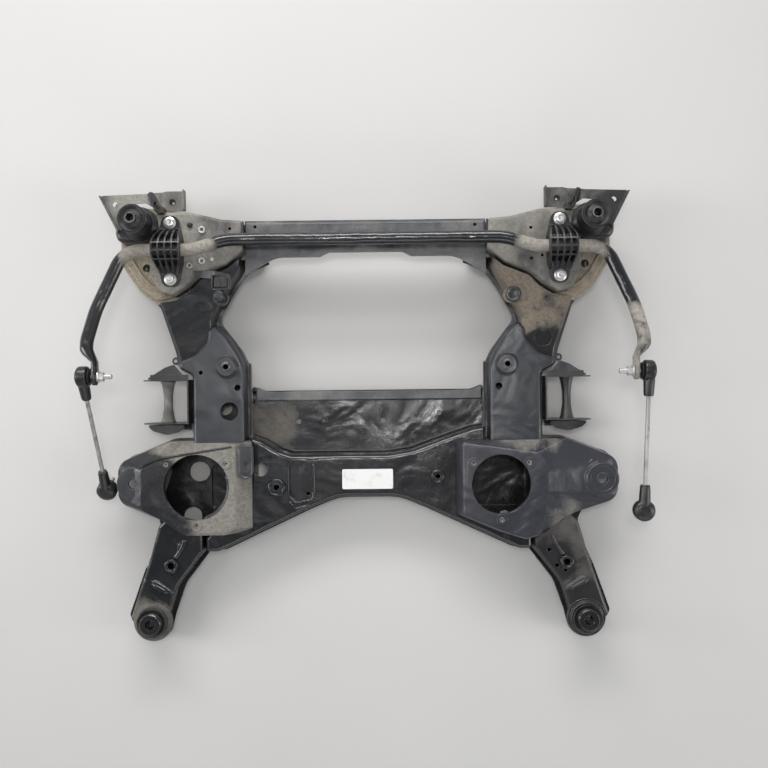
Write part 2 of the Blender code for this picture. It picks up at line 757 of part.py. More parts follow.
def front_cover(side, name):
    body = piece(name, tray(both(side, cover_levels())), PAINT)
    high = cover_height(0, 238)
    add(body, drum(side * 287, 238, 15, high - 3, high + 9, ROUND_SIDES))
    cut(body, drum(side * 287, 238, 6, high - 20, high + 20, SMALL_SIDES))
    dish = [(337, 138, 16), (372, 138, 16), (374, 172, 16), (338, 172, 16)]
    if side > 0:
        sunk(body, dish, cover_height, 6)
    cut(body, envelope(both(side, gusset_pan_levels()), flange=GUSSET_FLANGE))
    for levels in (gusset_box_levels(), shell_levels()):
        cut(body, envelope(both(side, levels)))
    cut(body, prism(whole(BEAM_EDGE), 0, 150, inset=-GAP))
    return body


# Front gusset boxes, the beam between them and the towers on their outer ends

def gusset_pan_levels():
    outer, front = GUSSET_OUTER_X, GUSSET_FRONT_Y
    corners = [
        (BEAM_END_X + 0.3, 389, 6), (BEAM_END_X + 0.3, 322, 6), (272, 297, 20), (325, 277, 20), (345, 256, 20),
        (378, 236, 14), (421, 229, 10), (457, 257, 60), (outer, 312, 20), (outer, front + 16, 12),
        (470, front + 22, 8), (345, front + 6, 30),
    ]
    bottom = SEAM_Z + GAP
    wall = GUSSET_FLANGE
    return [(corners, wall, GUSSET_SEAM_Z, 0)] + rolled_edge(corners, wall + 3, bottom, 9, rise=-1)


def gusset_pan(side, name):
    body = piece(name, tray(both(side, gusset_pan_levels()), flange=GUSSET_FLANGE), PAINT)
    holes = [drum(side * 441, 303, 8, GUSSET_SEAM_Z - 40, GUSSET_SEAM_Z + 20)]
    holes += [drum(side * CLAMP_X, 300, 24, SEAM_Z - 10, SEAM_Z + 10)]
    holes += [drum(side * FRONT_MOUNT_X, FRONT_MOUNT_Y, 18, SEAM_Z - 10, SEAM_Z + 12)]
    cut(body, together(holes))
    return body


def gusset_box_levels():
    front, inner, outer = GUSSET_FRONT_Y, BEAM_END_X, TOWER_INNER_X - 2 * GAP
    corners = [
        (inner, 389, 8), (inner, 330, 8), (274, 303, 16), (323, 284, 16), (349, 262, 16), (379, 243, 12),
        (408, 251, 12), (outer, 288, 30), (outer, front - 1, 8), (345, front + 1, 30), (282, front - 14, 20),
    ]
    return [(corners, 0, GUSSET_SEAM_Z + GAP, 0)] + rolled_edge(corners, 0.5, GUSSET_TOP, 7)


def clamp_bolt_points():
    half = CLAMP_BOLT_PITCH / 2
    return [(CLAMP_X, BAR_AXIS_Y + half), (CLAMP_X, BAR_AXIS_Y - half)]


def gusset_box(side, name):
    body = piece(name, tray(both(side, gusset_box_levels())), PAINT)
    holes = [drum(side * x, y, BOLT_RADIUS + 1, GUSSET_TOP - 20, GUSSET_TOP + 10) for x, y in clamp_bolt_points()]
    small = [(326, 384)] if side > 0 else [(300, 392), (265, 372)]
    holes += [drum(side * x, y, 3, GUSSET_TOP - 20, GUSSET_TOP + 10) for x, y in small]
    cut(body, together(holes))
    cut(body, drum(side * FRONT_MOUNT_X, FRONT_MOUNT_Y, TOWER_RADIUS + GAP, 0, 200, ROUND_SIDES))
    nuts = [drum(side * 340, 386, 7.5, GUSSET_TOP - 1, GUSSET_TOP + 6, 6)]
    nuts += [drum(side * 317, 316, 6, GUSSET_TOP - 1, GUSSET_TOP + 4, 6)]
    add(body, together(nuts))
    return body


def beam_wall(inset):
    rear, front = BEAM_HAT_REAR_Y + inset, BEAM_FRONT_Y - BEAM_FLANGE - inset
    end = BEAM_END_X - 2 - inset
    return whole([
        (BEAM_NOTCH_X - 9, rear, 10, 1), (BEAM_NOTCH_X + 9, rear - 3, 10, 1), (180, rear - 3, 60, 1),
        (end, rear - 8, 0, 0), (end, front, 0, 0),
    ])


def crossmember_upper():
    wall = beam_wall(0)
    levels = [(wall, 0, BEAM_SEAM_Z + GAP, 0)] + rolled_edge(wall, 1.5, BEAM_TOP, 6)
    body = piece("front_crossmember_upper", tray(levels, rim=whole(BEAM_EDGE)), PAINT)
    holes = [drum(side * 216, 376, 3, BEAM_TOP - 15, BEAM_TOP + 10) for side in (1, -1)]
    cut(body, together(holes))
    return body


def crossmember_lower():
    edge = whole(BEAM_EDGE)
    levels = [(edge, BEAM_FLANGE, BEAM_SEAM_Z, 0)]
    levels += rolled_edge(edge, BEAM_FLANGE + 4, BEAM_FLOOR, 8, rise=-1)
    body = piece("front_crossmember_lower", tray(levels, flange=BEAM_FLANGE), PAINT)
    cut(body, together([drum(x, 352, 14, BEAM_FLOOR - 10, BEAM_FLOOR + 12) for x in (-120, 0, 120)]))
    return body


def tower_levels():
    corners = [
        (TOWER_INNER_X, TOWER_REAR_Y, 12), (TOWER_OUTER_X, TOWER_REAR_Y, 22),
        (TOWER_OUTER_X, TOWER_FRONT_Y, 18), (TOWER_INNER_X, TOWER_FRONT_Y, 12),
    ]
    return [(corners, 0, GUSSET_SEAM_Z + GAP, 0)] + rolled_edge(corners, 3, TOWER_SHOULDER_Z, 10)


def tower(side, name):
    body = piece(name, tray(both(side, tower_levels())), PAINT)
    x, y = side * FRONT_MOUNT_X, FRONT_MOUNT_Y
    tube = [
        (TOWER_RADIUS, GUSSET_SEAM_Z + 5), (TOWER_RADIUS, TOWER_TOP - 8), (TOWER_RADIUS + 1.5, TOWER_TOP - 6),
        (TOWER_RADIUS + 1.5, TOWER_TOP),
    ]
    add(body, moved(turned(tube), at(x, y, 0)))
    root = [(TOWER_RADIUS + 7, TOWER_SHOULDER_Z - 6), (TOWER_RADIUS + 7, TOWER_SHOULDER_Z + 3),
            (TOWER_RADIUS - 1, TOWER_SHOULDER_Z + 12)]
    add(body, moved(turned(root), at(x, y, 0)))
    cut(body, drum(x, y, TOWER_BORE, GUSSET_SEAM_Z - 5, TOWER_TOP + 20, ROUND_SIDES))
    return body


def front_bush(side, word):
    x, y = side * FRONT_MOUNT_X, FRONT_MOUNT_Y
    inner, outer, top = FRONT_SLEEVE_RADIUS + GAP, TOWER_BORE - GAP, TOWER_TOP + GAP
    profile = [
        (inner, 100), (outer, 100), (outer, top), (outer + 2.5, top), (outer + 2, top + 3),
        (outer - 5, top - 1), (inner, top + 4),
    ]
    piece(f"front_bush_rubber_{word}", moved(turned(profile, hollow=True), at(x, y, 0)), RUBBER, (x, y, 0))
    bore, sleeve, high = FRONT_SLEEVE_BORE, FRONT_SLEEVE_RADIUS, FRONT_SLEEVE_TOP
    profile = [(bore, 92), (sleeve, 92), (sleeve, high - 1), (sleeve - 1, high), (bore, high)]
    piece(f"front_bush_sleeve_{word}", moved(turned(profile, hollow=True), at(x, y, 0)), STEEL, (x, y, 0))


def front_bracket(side, name):
    tab, inner, ledge = BRACKET_TAB_Z, BRACKET_TAB_INNER_X, TOWER_SHOULDER_Z + GAP
    section = [
        (inner, tab + 20), (inner, tab), (402, tab), (425, ledge), (540, ledge), (540, ledge + SHEET),
        (423.6, ledge + SHEET), (400.6, tab + SHEET), (inner + SHEET, tab + SHEET), (inner + SHEET, tab + 20),
    ]
    body = piece(name, flipped(side, bar_stock(section, 330, 470, "y")), PAINT)
    rear = GUSSET_FRONT_Y + 4.5
    plan = [
        (inner - 2, rear, 2), (405, rear, 6), (426, 422, 5), (462, 419, 10), (477, 361, 4),
        (BRACKET_TIP_X, BRACKET_TIP_Y, 4), (424, BRACKET_TIP_Y + 3, 20), (404, BRACKET_TAB_FRONT_Y - 3, 8),
        (392, BRACKET_TAB_FRONT_Y, 8), (inner - 2, BRACKET_TAB_FRONT_Y, 3),
    ]
    keep(body, prism(on_side(side, plan), 0, 200))
    lip = [(478, 363), (BRACKET_TIP_X - 1, BRACKET_TIP_Y - 3), (BRACKET_TIP_X - 4, BRACKET_TIP_Y - 2), (477, 370)]
    add(body, flipped(side, loft([level(lip, ledge + 1), level(lip, ledge + 14)])))
    holes = [drum(side * 486, 420, 5, 60, 200), drum(side * 380, 428, 6.5, 60, 200)]
    cut(body, together(holes))
    return body


# Front control-arm bracket: a folded channel with a waisted distance tube welded between its cheeks

def arm_bracket(side, name):
    wall, outer = ARM_BRACKET_WALL_X + GAP, ARM_BRACKET_OUTER_X
    front, rear = ARM_BRACKET_FRONT_Y, ARM_BRACKET_REAR_Y
    channel = [
        (wall, rear - SHEET), (outer, rear - SHEET), (outer, rear), (wall + SHEET, rear),
        (wall + SHEET, front), (outer, front), (outer, front + SHEET), (wall, front + SHEET),
    ]
    low, high = ARM_BRACKET_PIN_Z - 38, ARM_BRACKET_PIN_Z + 28
    body = piece(name, flipped(side, loft([level(channel, low), level(channel, high)])), PAINT)
    cheek = [
        (wall - 5, low, 0), (outer - 30, low, 20), (outer + 1, ARM_BRACKET_PIN_Z - 12, 22),
        (outer + 1, high, 14), (wall - 5, high, 0),
    ]
    keep(body, flipped(side, moved_to_y(prism(cheek, -150, 150))))
    rims = [box(wall, outer - 16, front, front + 13, high - SHEET, high)]
    rims += [box(wall + 8, outer - 30, rear - 16, rear, low, low + SHEET)]
    for rim in rims:
        add(body, flipped(side, rim))
    length = front - rear
    waist = [(15, -1), (12, 8), (8.5, length * 0.35), (8.5, length * 0.65), (12, length - 8), (15, length + 1)]
    pin = moved(turned(waist, SMALL_SIDES), at(ARM_BRACKET_PIN_X, rear, ARM_BRACKET_PIN_Z) @ TO_Y)
    add(body, flipped(side, pin))
    nut = moved(drum(0, 0, 9, 0, 16, 6), at(ARM_BRACKET_PIN_X, rear - 16, ARM_BRACKET_PIN_Z) @ TO_Y)
    add(body, flipped(side, nut))
    return body


def moved_to_y(solid):
    """A prism drawn in (x, z) plan, laid so that it runs along Y."""
    points, faces = solid
    return [(x, z, y) for x, y, z in points], faces


# Anti-roll bar, its bushes and its ribbed clamps

def rounded_path(corners, step):
    """A line through (x, y, z, bend radius) corners, with arcs at the bends and no long empty stretch."""
    points = [Vector(corners[0][:3])]
    for before, corner, after in zip(corners, corners[1:], corners[2:]):
        here = Vector(corner[:3])
        into = (here - Vector(before[:3])).normalized()
        out = (Vector(after[:3]) - here).normalized()
        turn = into.angle(out)
        reach = corner[3] * math.tan(turn / 2)
        start, end = here - into * reach, here + out * reach
        centre = start + (out - into * into.dot(out)).normalized() * corner[3]
        count = max(1, round(turn / step))
        axis = into.cross(out)
        for k in range(count + 1):
            spin = Matrix.Rotation(turn * k / count, 3, axis)
            points.append(centre + spin @ (start - centre))
        points[-1] = end
    points.append(Vector(corners[-1][:3]))
    return points


def bar_corners():
    """The right half of the bar's centre line, from its middle to the start of its flattened eye."""
    straight = CLAMP_X + BUSH_LENGTH / 2
    return [
        (0, BAR_MIDDLE_Y, BAR_AXIS_Z, 0), (CLAMP_X - 112, BAR_MIDDLE_Y, BAR_AXIS_Z, 120),
        (straight - BUSH_LENGTH - 20, BAR_AXIS_Y, BAR_AXIS_Z, 60), (straight + 60, BAR_AXIS_Y, BAR_AXIS_Z, 48),
        (EYE_X + 6, EYE_Y + 126, EYE_Z - 26, 150), (EYE_X + 17, EYE_Y + 66, EYE_Z - 6, 60),
        (EYE_X + 15, EYE_Y + 50, EYE_Z, 0),
    ]


def anti_roll_bar():
    """The round bar swept along its line, its ends forged flat into eyes for the link studs."""
    half = rounded_path(bar_corners(), BAR_STEP)
    rings = []
    flat = EYE_THICKNESS / 2 / BAR_RADIUS
    forged = [
        (42, 11, 0.95, 1.0), (34, 5, 0.7, 1.1), (27, 0, flat, 1.2), (0, 0, flat, 1.3),
        (-10, 0, flat, 1.0), (-EYE_RADIUS, 0, flat * 0.8, 0.4),
    ]
    for index, centre in enumerate(half):
        ahead = half[min(index + 1, len(half) - 1)] - half[max(index - 1, 0)]
        if index == 0:
            ahead = Vector((1, 0, 0))
        rings.append(ring_across(centre, ahead.normalized(), BAR_RADIUS, BAR_RADIUS, BAR_SIDES))
    for ahead, out, thin, wide in forged:
        centre = Vector((EYE_X + out, EYE_Y + ahead, EYE_Z))
        rings.append(ring_across(centre, Vector((0, -1, 0)), BAR_RADIUS * thin, BAR_RADIUS * wide, BAR_SIDES))
    left = [[Vector((-p.x, p.y, p.z)) for p in ring] for ring in reversed(rings[1:])]
    body = piece("anti_roll_bar", loft(left + rings), PAINT, (0, BAR_AXIS_Y, BAR_AXIS_Z))
    for side in (1, -1):
        hole = moved(drum(0, 0, STUD_RADIUS + GAP, -20, 20), at(side * EYE_X, EYE_Y, EYE_Z) @ TO_X)
        cut(body, hole)
    return body


def ring_across(centre, ahead, thin, wide, sides):
    """A round or flattened section across the line, starting from the same upright direction everywhere."""
    up = (Vector((0, 0, 1)) - ahead * ahead.z).normalized()
    across = up.cross(ahead)
    turns = [2 * math.pi * (i + 0.5) / sides for i in range(sides)]
    return [centre + across * (thin * math.cos(a)) + up * (wide * math.sin(a)) for a in turns]


def arched(radius, foot, steps=6):
    """A half round of the radius over the bar, standing on straight legs down to foot: (y, z) points."""
    arc = [math.pi * i / steps for i in range(steps + 1)]
    top = [(BAR_AXIS_Y + radius * math.cos(a), BAR_AXIS_Z + radius * math.sin(a)) for a in arc]
    return [(BAR_AXIS_Y + radius, foot)] + top + [(BAR_AXIS_Y - radius, foot)]


def bar_bush(side, word):
    """A rubber block round the bar, flat on the gusset and round under the clamp."""
    x = side * CLAMP_X
    block = arched(BAR_RADIUS + BUSH_WALL, CLAMP_SEAT)
    body = piece(f"bar_bush_{word}", bar_stock(block, x - BUSH_LENGTH / 2, x + BUSH_LENGTH / 2), RUBBER)
    turning = (BAR_RADIUS + GAP) / math.cos(math.pi / ROUND_SIDES)
    bore = moved(drum(0, 0, turning, -60, 60, ROUND_SIDES), at(x, BAR_AXIS_Y, BAR_AXIS_Z) @ TO_X)
    cut(body, bore)
    return body


def clamp_skin(y):
    """Height of the clamp's skin under its ribs, at a distance y from the bar's axis."""
    radius = BAR_RADIUS + BUSH_WALL + GAP + CLAMP_SKIN
    if abs(y) >= radius:
        return CLAMP_SEAT + CLAMP_FLOOR
    return max(BAR_AXIS_Z + math.sqrt(radius**2 - y**2), CLAMP_SEAT + CLAMP_FLOOR)


def bar_clamp(side, word):
    """The moulded clamp: an arch of lengthwise ribs tied by cross ribs over a thin skin, with two bolt feet."""
    x, half = side * CLAMP_X, CLAMP_BOLT_PITCH / 2
    crest = BAR_RADIUS + BUSH_WALL + CLAMP_ARCH_HEIGHT
    foot_top = CLAMP_SEAT + CLAMP_BOLT_FOOT
    end = half + BOLT_FLANGE_RADIUS + 2
    flank = half - BOLT_FLANGE_RADIUS - 1.5
    arc = [math.radians(a) for a in (25, 50, 75, 105, 130, 155)]
    crown = [(BAR_AXIS_Y + crest * math.cos(a), BAR_AXIS_Z + crest * math.sin(a)) for a in arc]
    section = [(BAR_AXIS_Y - end, CLAMP_SEAT), (BAR_AXIS_Y + end, CLAMP_SEAT), (BAR_AXIS_Y + end, foot_top)]
    section += [(BAR_AXIS_Y + flank, foot_top)] + crown
    section += [(BAR_AXIS_Y - flank, foot_top), (BAR_AXIS_Y - end, foot_top)]
    wide, narrow = CLAMP_WIDTH / 2, BOLT_FLANGE_RADIUS + 4.5
    body = piece(f"bar_clamp_{word}", bar_stock(section, x - wide, x + wide), MOULDED)
    y = BAR_AXIS_Y
    plan = [
        (x - narrow, y - end, narrow - 1), (x + narrow, y - end, narrow - 1), (x + wide, y - 26, 22),
        (x + wide, y + 26, 22), (x + narrow, y + end, narrow - 1), (x - narrow, y + end, narrow - 1),
        (x - wide, y + 26, 22), (x - wide, y - 26, 22),
    ]
    keep(body, prism(plan, CLAMP_SEAT - 20, BAR_AXIS_Z + crest + 20))
    tunnel = arched(BAR_RADIUS + BUSH_WALL + GAP, CLAMP_SEAT - 10)
    cut(body, bar_stock(tunnel, x - wide - 5, x + wide + 5))
    cells = []
    pitch = (CLAMP_WIDTH - CLAMP_RIB) / (CLAMP_RIB_COUNT - 1)
    bays = [(-flank + 1, -22), (-19.5, -6), (-3.5, 10), (12.5, 22), (24.5, flank - 1)]
    for rib in range(CLAMP_RIB_COUNT - 1):
        low = x - wide + CLAMP_RIB + rib * pitch
        for start, stop in bays:
            spans = 1 if abs(start + stop) / 2 > BAR_RADIUS + BUSH_WALL else 2
            stations = [start + (stop - start) * k / spans for k in range(spans + 1)]
            floor = [(y + s, clamp_skin(s)) for s in stations]
            roof = [(y + stop, BAR_AXIS_Z + 60), (y + start, BAR_AXIS_Z + 60)]
            cells.append(bar_stock(floor + roof, low, low + pitch - CLAMP_RIB))
    cut(body, together(cells))
    bolts = [drum(x, y + k * half, BOLT_RADIUS + 0.6, CLAMP_SEAT - 10, foot_top + 20) for k in (1, -1)]
    cut(body, together(bolts))
    return body


def clamp_bolt(side, y, name):
    """A flange bolt: washer face, dished hexagon head and the shank through clamp and gusset."""
    seat = CLAMP_SEAT + CLAMP_BOLT_FOOT + GAP
    x = side * CLAMP_X
    flange = [(BOLT_FLANGE_RADIUS, seat), (BOLT_FLANGE_RADIUS, seat + 1.5), (BOLT_FLANGE_RADIUS - 4, seat + 3.5)]
    body = piece(name, moved(turned(flange), at(x, y, 0)), BRIGHT, (x, y, seat))
    across = BOLT_HEAD_FLATS / math.sqrt(3)
    head = loft([
        level(circle(x, y, across, 6), seat + 2), level(circle(x, y, across, 6), seat + 9),
        level(circle(x, y, across - 2, 6), seat + 10),
    ])
    add(body, head)
    add(body, drum(x, y, BOLT_RADIUS, GUSSET_TOP - 18, seat + 2.5, SMALL_SIDES))
    return body


def cable_bracket():
    """The small bent strip and clip for a sensor cable, screwed to the left cover's boss."""
    top = GUSSET_TOP + GAP
    strip = [
        (-338, top), (-305, top), (-292, top + 8), (-262, top + 8), (-262, top + 10.5), (-293, top + 10.5),
        (-306, top + 2.5), (-338, top + 2.5),
    ]
    body = piece("cable_bracket", bar_stock(strip, 250, 300, "y"), PAINT)
    plan = [
        (-298, 251, 4), (-262, 251, 4), (-262, 280, 4), (-300, 290, 4), (-340, 290, 5), (-340, 278, 5),
        (-300, 274, 6),
    ]
    keep(body, prism(plan, 0, 300))
    add(body, box(-292, -268, 256, 274, top + 9, top + 20))
    cut(body, box(-288, -272, 250, 280, top + 12.5, top + 17))
    foot = cover_height(0, 238) + 9 + GAP
    leg = box(-291, -283, 229, 258, top + 8, top + 10.5)
    add(body, leg)
    post = loft([level(circle(-287, 238, 9), foot), level(circle(-287, 238, 9), top + 10.5)])
    add(body, post)
    head = [level(circle(-287, 238, 8, 6), top + 10), level(circle(-287, 238, 8, 6), top + 17)]
    add(body, loft(head))
    return body


# Drop links: modelled along -Y from the upper ball at the origin, then swung to where they hang

def link_angles(side):
    """How a link hangs: its swing about the stud, as a matrix, and its tilt inwards in degrees."""
    swing = LEFT_LINK_SWING if side < 0 else RIGHT_LINK_SWING
    return Matrix.Rotation(math.radians(swing), 4, "X"), LEFT_LINK_TILT if side < 0 else RIGHT_LINK_TILT


def link_pose(side):
    swing, tilt = link_angles(side)
    return at(side * LINK_X, EYE_Y, EYE_Z) @ swing @ Matrix.Rotation(math.radians(-side * tilt), 4, "Z")


def socket_shell(length):
    """A moulded ball housing: its drum about Z, open underneath, and its neck down to the rod along -Y."""
    radius, half = SOCKET_RADIUS, SOCKET_THICKNESS / 2
    drum_profile = [(radius - 3, -half), (radius, -half + 3), (radius, half - 5), (radius - 6, half)]
    neck = [(12, 4), (11.5, radius + 4), (8.5, length)]
    return turned(drum_profile, ROUND_SIDES), moved(turned(neck, SMALL_SIDES), TO_MINUS_Y)


def link_socket(name, pose, along, length):
    """One housing, posed, with the ball seat and the rod's hole cut into it."""
    shell, neck = socket_shell(length)
    body = piece(name, moved(shell, pose), MOULDED, pose.to_translation())
    add(body, moved(neck, pose @ along))
    fit = (BALL_RADIUS + GAP) / math.cos(math.pi / SMALL_SIDES)
    mouth = [(SOCKET_RADIUS - 6, -SOCKET_THICKNESS), (SOCKET_RADIUS - 8, -SOCKET_THICKNESS / 2)]
    seat = mouth + [(fit, -BALL_RADIUS * 0.6), (fit, BALL_RADIUS * 0.4), (fit / 2, BALL_RADIUS + 2 * GAP)]
    cut(body, moved(turned(seat, SMALL_SIDES), pose))
    hole = moved(drum(0, 0, LINK_ROD_RADIUS + GAP, SOCKET_RADIUS + 6, length + 10), TO_MINUS_Y)
    cut(body, moved(hole, pose @ along))
    return body


def ball_stud(name, pose, origin, reach):
    """A forged ball with its taper, collar and threaded end along -Z."""
    ball = BALL_RADIUS
    profile = [(2.5, ball * 0.95), (5.8, ball * 0.7), (ball, 0), (5.8, -ball * 0.7)]
    half = SOCKET_THICKNESS / 2
    profile += [(STUD_RADIUS, -half + 1), (STUD_RADIUS, -reach + 1.5), (STUD_RADIUS - 1.2, -reach)]
    return piece(name, moved(turned(profile, SMALL_SIDES), pose), BRIGHT, origin)


def boot(name, pose, origin, seat, tilt):
    """The rubber gaiter between a housing and the face its stud is drawn against, round the stud's axis."""
    half = SOCKET_THICKNESS / 2 + GAP + (SOCKET_RADIUS - 5) * math.sin(math.radians(tilt))
    inner = (STUD_RADIUS + GAP) / math.cos(math.pi / SMALL_SIDES)
    profile = [
        (inner, -half), (SOCKET_RADIUS - 5, -half), (SOCKET_RADIUS - 4, -half - (seat - half) * 0.4),
        (inner + 3.5, -seat), (inner, -seat),
    ]
    return piece(name, moved(turned(profile, SMALL_SIDES, hollow=True), pose), RUBBER, origin)


def drop_link(side, word):
    """Rod, two housings and their ball studs. The upper stud is bolted through the bar's eye."""
    pose = link_pose(side)
    spot = at(side * LINK_X, EYE_Y, EYE_Z)
    inward = Matrix.Rotation(math.radians(side * 90), 4, "Y")
    length = 48.0
    lower_pose = pose @ at(0, -LINK_LENGTH, 0)
    face = LINK_X - EYE_X - EYE_THICKNESS / 2 - 4 * GAP
    upper_origin, lower_origin = spot.to_translation(), lower_pose.to_translation()
    link_socket(f"link_upper_housing_{word}", pose @ inward, inward.inverted(), length)
    back = Matrix.Rotation(math.radians(180), 4, "Z")
    link_socket(f"link_lower_housing_{word}", lower_pose, back, length)
    start = SOCKET_RADIUS + 6.5
    rod = moved(drum(0, 0, LINK_ROD_RADIUS, start, LINK_LENGTH - start), TO_MINUS_Y)
    piece(f"link_rod_{word}", moved(rod, pose), BRIGHT, upper_origin)
    ball_stud(f"link_upper_stud_{word}", spot @ inward, upper_origin, LINK_X - EYE_X + 32)
    ball_stud(f"link_lower_stud_{word}", lower_pose, lower_origin, 44)
    swing, tilt = link_angles(side)
    boot(f"link_upper_boot_{word}", spot @ swing @ inward, upper_origin, face, tilt)
    boot(f"link_lower_boot_{word}", lower_pose, lower_origin, 24, 0)
    eye_inner = LINK_X - EYE_X + EYE_THICKNESS / 2 + GAP
    nut = [level(circle(0, 0, 11, ROUND_SIDES), -eye_inner), level(circle(0, 0, 11, ROUND_SIDES), -eye_inner - 2)]
    body = piece(f"link_nut_{word}", moved(loft(nut), spot @ inward), BRIGHT, upper_origin)
    flats = [level(circle(0, 0, 9.2, 6), -eye_inner - 1.5), level(circle(0, 0, 9.2, 6), -eye_inner - 11)]
    add(body, moved(loft(flats), spot @ inward))
    cut(body, moved(drum(0, 0, STUD_RADIUS + GAP, -eye_inner - 30, -eye_inner + 10), spot @ inward))


def build():
    for old in list(bpy.data.objects):
        bpy.data.objects.remove(old, do_unlink=True)
    rear_crossmember_lower()
    rear_crossmember_upper()
    crossmember_upper()
    crossmember_lower()
    anti_roll_bar()
    cable_bracket()
    for side, word in ((1, "right"), (-1, "left")):
        engine_console(side, f"engine_console_{word}")
        rear_arm(side, f"rear_arm_{word}")
        rear_bush(side, word)
        side_member_lower(side, f"side_member_lower_{word}")
        side_member_upper(side, f"side_member_upper_{word}")
        front_cover(side, f"front_cover_{word}")
        rack_boss(side, word)
        gusset_pan(side, f"front_gusset_lower_{word}")
        gusset_box(side, f"front_gusset_upper_{word}")
        tower(side, f"front_tower_{word}")
        front_bush(side, word)
        front_bracket(side, f"front_bracket_{word}")
        arm_bracket(side, f"arm_bracket_{word}")
        bar_bush(side, word)
        bar_clamp(side, word)
        for (_, y), place in zip(clamp_bolt_points(), ("front", "rear")):
            clamp_bolt(side, y, f"clamp_bolt_{place}_{word}")
        drop_link(side, word)


build()
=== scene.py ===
"""A car's front subframe dressed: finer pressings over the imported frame, dusty paint, rubber and zinc."""

import json
import math

import bmesh
import bpy
from mathutils import Matrix, Vector


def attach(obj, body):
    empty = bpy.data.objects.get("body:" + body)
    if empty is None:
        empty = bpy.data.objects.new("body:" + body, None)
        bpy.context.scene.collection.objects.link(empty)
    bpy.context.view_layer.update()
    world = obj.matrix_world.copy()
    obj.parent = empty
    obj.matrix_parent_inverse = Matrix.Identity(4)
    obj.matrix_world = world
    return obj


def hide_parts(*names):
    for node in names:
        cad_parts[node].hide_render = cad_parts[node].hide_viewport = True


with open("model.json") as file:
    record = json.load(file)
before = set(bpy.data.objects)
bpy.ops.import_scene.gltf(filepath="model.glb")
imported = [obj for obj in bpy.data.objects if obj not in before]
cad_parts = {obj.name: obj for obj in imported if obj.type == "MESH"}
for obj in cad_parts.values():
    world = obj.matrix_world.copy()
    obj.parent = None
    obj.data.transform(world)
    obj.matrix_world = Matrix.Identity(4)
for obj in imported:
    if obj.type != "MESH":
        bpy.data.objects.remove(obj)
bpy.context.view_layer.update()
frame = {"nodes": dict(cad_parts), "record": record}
BODY_OF = {node: body for body, nodes in frame["record"]["behaviour"]["bodies"].items() for node in nodes}

MM = 0.001
GAP = 0.3
SHEET = 2.5
ARC_STEP = math.radians(14)
ROUND_SIDES = 48
SMALL_SIDES = 24
ENGINE_SIDES = 64
BAR_SIDES = 28
BAR_STEP = math.radians(5)
EDGE_STEPS = 4
SHARP_ANGLE = math.radians(34)
WELD_RADIUS = 2.4
LUG_ANGLES = (38, 142, 270)
COVER_BOSS = (287, 238)
REAR_BOSSES = ((-184, -141), (140, -122))
GUSSET_DRAIN = (441, 303, 8)
RIGHT_BOSS = (292.0, 239.6)
SIDES = ((-1, "left"), (1, "right"))

# Mounting points, mirrored about the middle plane
FRONT_MOUNT_X = 437.0
FRONT_MOUNT_Y = 381.0
REAR_MOUNT_X = 437.0
REAR_MOUNT_Y = -410.0
RACK_MOUNT_X = 280.0
RACK_MOUNT_Y = 102.0

# Levels of the sheets, from the ground up
SWAGE_DEPTH = 8.0
SEAM_Z = 40.0
MEMBER_TOP = 80.0
RACK_SEAT_Z = MEMBER_TOP + GAP + 12
REAR_TOP = 72.0
CONSOLE_TOP = 104.0
CONSOLE_SHOULDER = 76.0
GUSSET_SEAM_Z = 63.0
GUSSET_TOP = 115.0
BEAM_FLOOR = 60.0
BEAM_SEAM_Z = 84.0
BEAM_TOP = 110.0
ARM_FLOOR_Z = 30.0
ARM_TOP = 64.0

# Side members
MEMBER_INNER_X = 240.0
MEMBER_OUTER_X = 386.0
MEMBER_REAR_Y = -54.0
NECK_INNER_X = 299.0
NECK_INNER_Y = 196.0
NECK_OUTER_X = 421.0
NECK_OUTER_Y = 229.0
MEMBER_FLANGE = 7.0

# Front cross beam
BEAM_FRONT_Y = 392.0
BEAM_REAR_Y = 319.0
BEAM_HAT_REAR_Y = 343.0
BEAM_END_X = 240.0
BEAM_NOTCH_X = 82.0
BEAM_NOTCH_DEPTH = 9.0
BEAM_FLANGE = 5.0

# Front gusset boxes and towers
GUSSET_FRONT_Y = 406.0
GUSSET_OUTER_X = 493.0
GUSSET_FLANGE = 8.0
TOWER_INNER_X = 425.0
TOWER_OUTER_X = 491.0
TOWER_REAR_Y = 342.0
TOWER_FRONT_Y = 420.0
TOWER_SHOULDER_Z = 122.0
TOWER_TOP = 184.0
TOWER_RADIUS = 26.0
TOWER_BORE = 22.5
FRONT_SLEEVE_RADIUS = 10.5
FRONT_SLEEVE_BORE = 6.5
FRONT_SLEEVE_TOP = 196.0

# Front brackets
BRACKET_TIP_X = 515.0
BRACKET_TIP_Y = 437.0
BRACKET_TAB_Z = 97.0
BRACKET_TAB_INNER_X = 354.0
BRACKET_TAB_FRONT_Y = 450.0

# Anti-roll bar and its seats
BAR_RADIUS = 12.3
BAR_AXIS_Y = 328.0
BAR_AXIS_Z = 138.0
BAR_MIDDLE_Y = 347.0
CLAMP_X = 380.0
CLAMP_WIDTH = 55.0
CLAMP_BOLT_PITCH = 110.0
CLAMP_BOLT_FOOT = 8.0
BUSH_WALL = 7.0
BUSH_LENGTH = 50.0
CLAMP_SKIN = 3.6
CLAMP_RIB = 3.0
CLAMP_RIB_COUNT = 5
CLAMP_ARCH_HEIGHT = 12.0
BOLT_RADIUS = 5.0
BOLT_FLANGE_RADIUS = 12.0
BOLT_HEAD_FLATS = 16.0

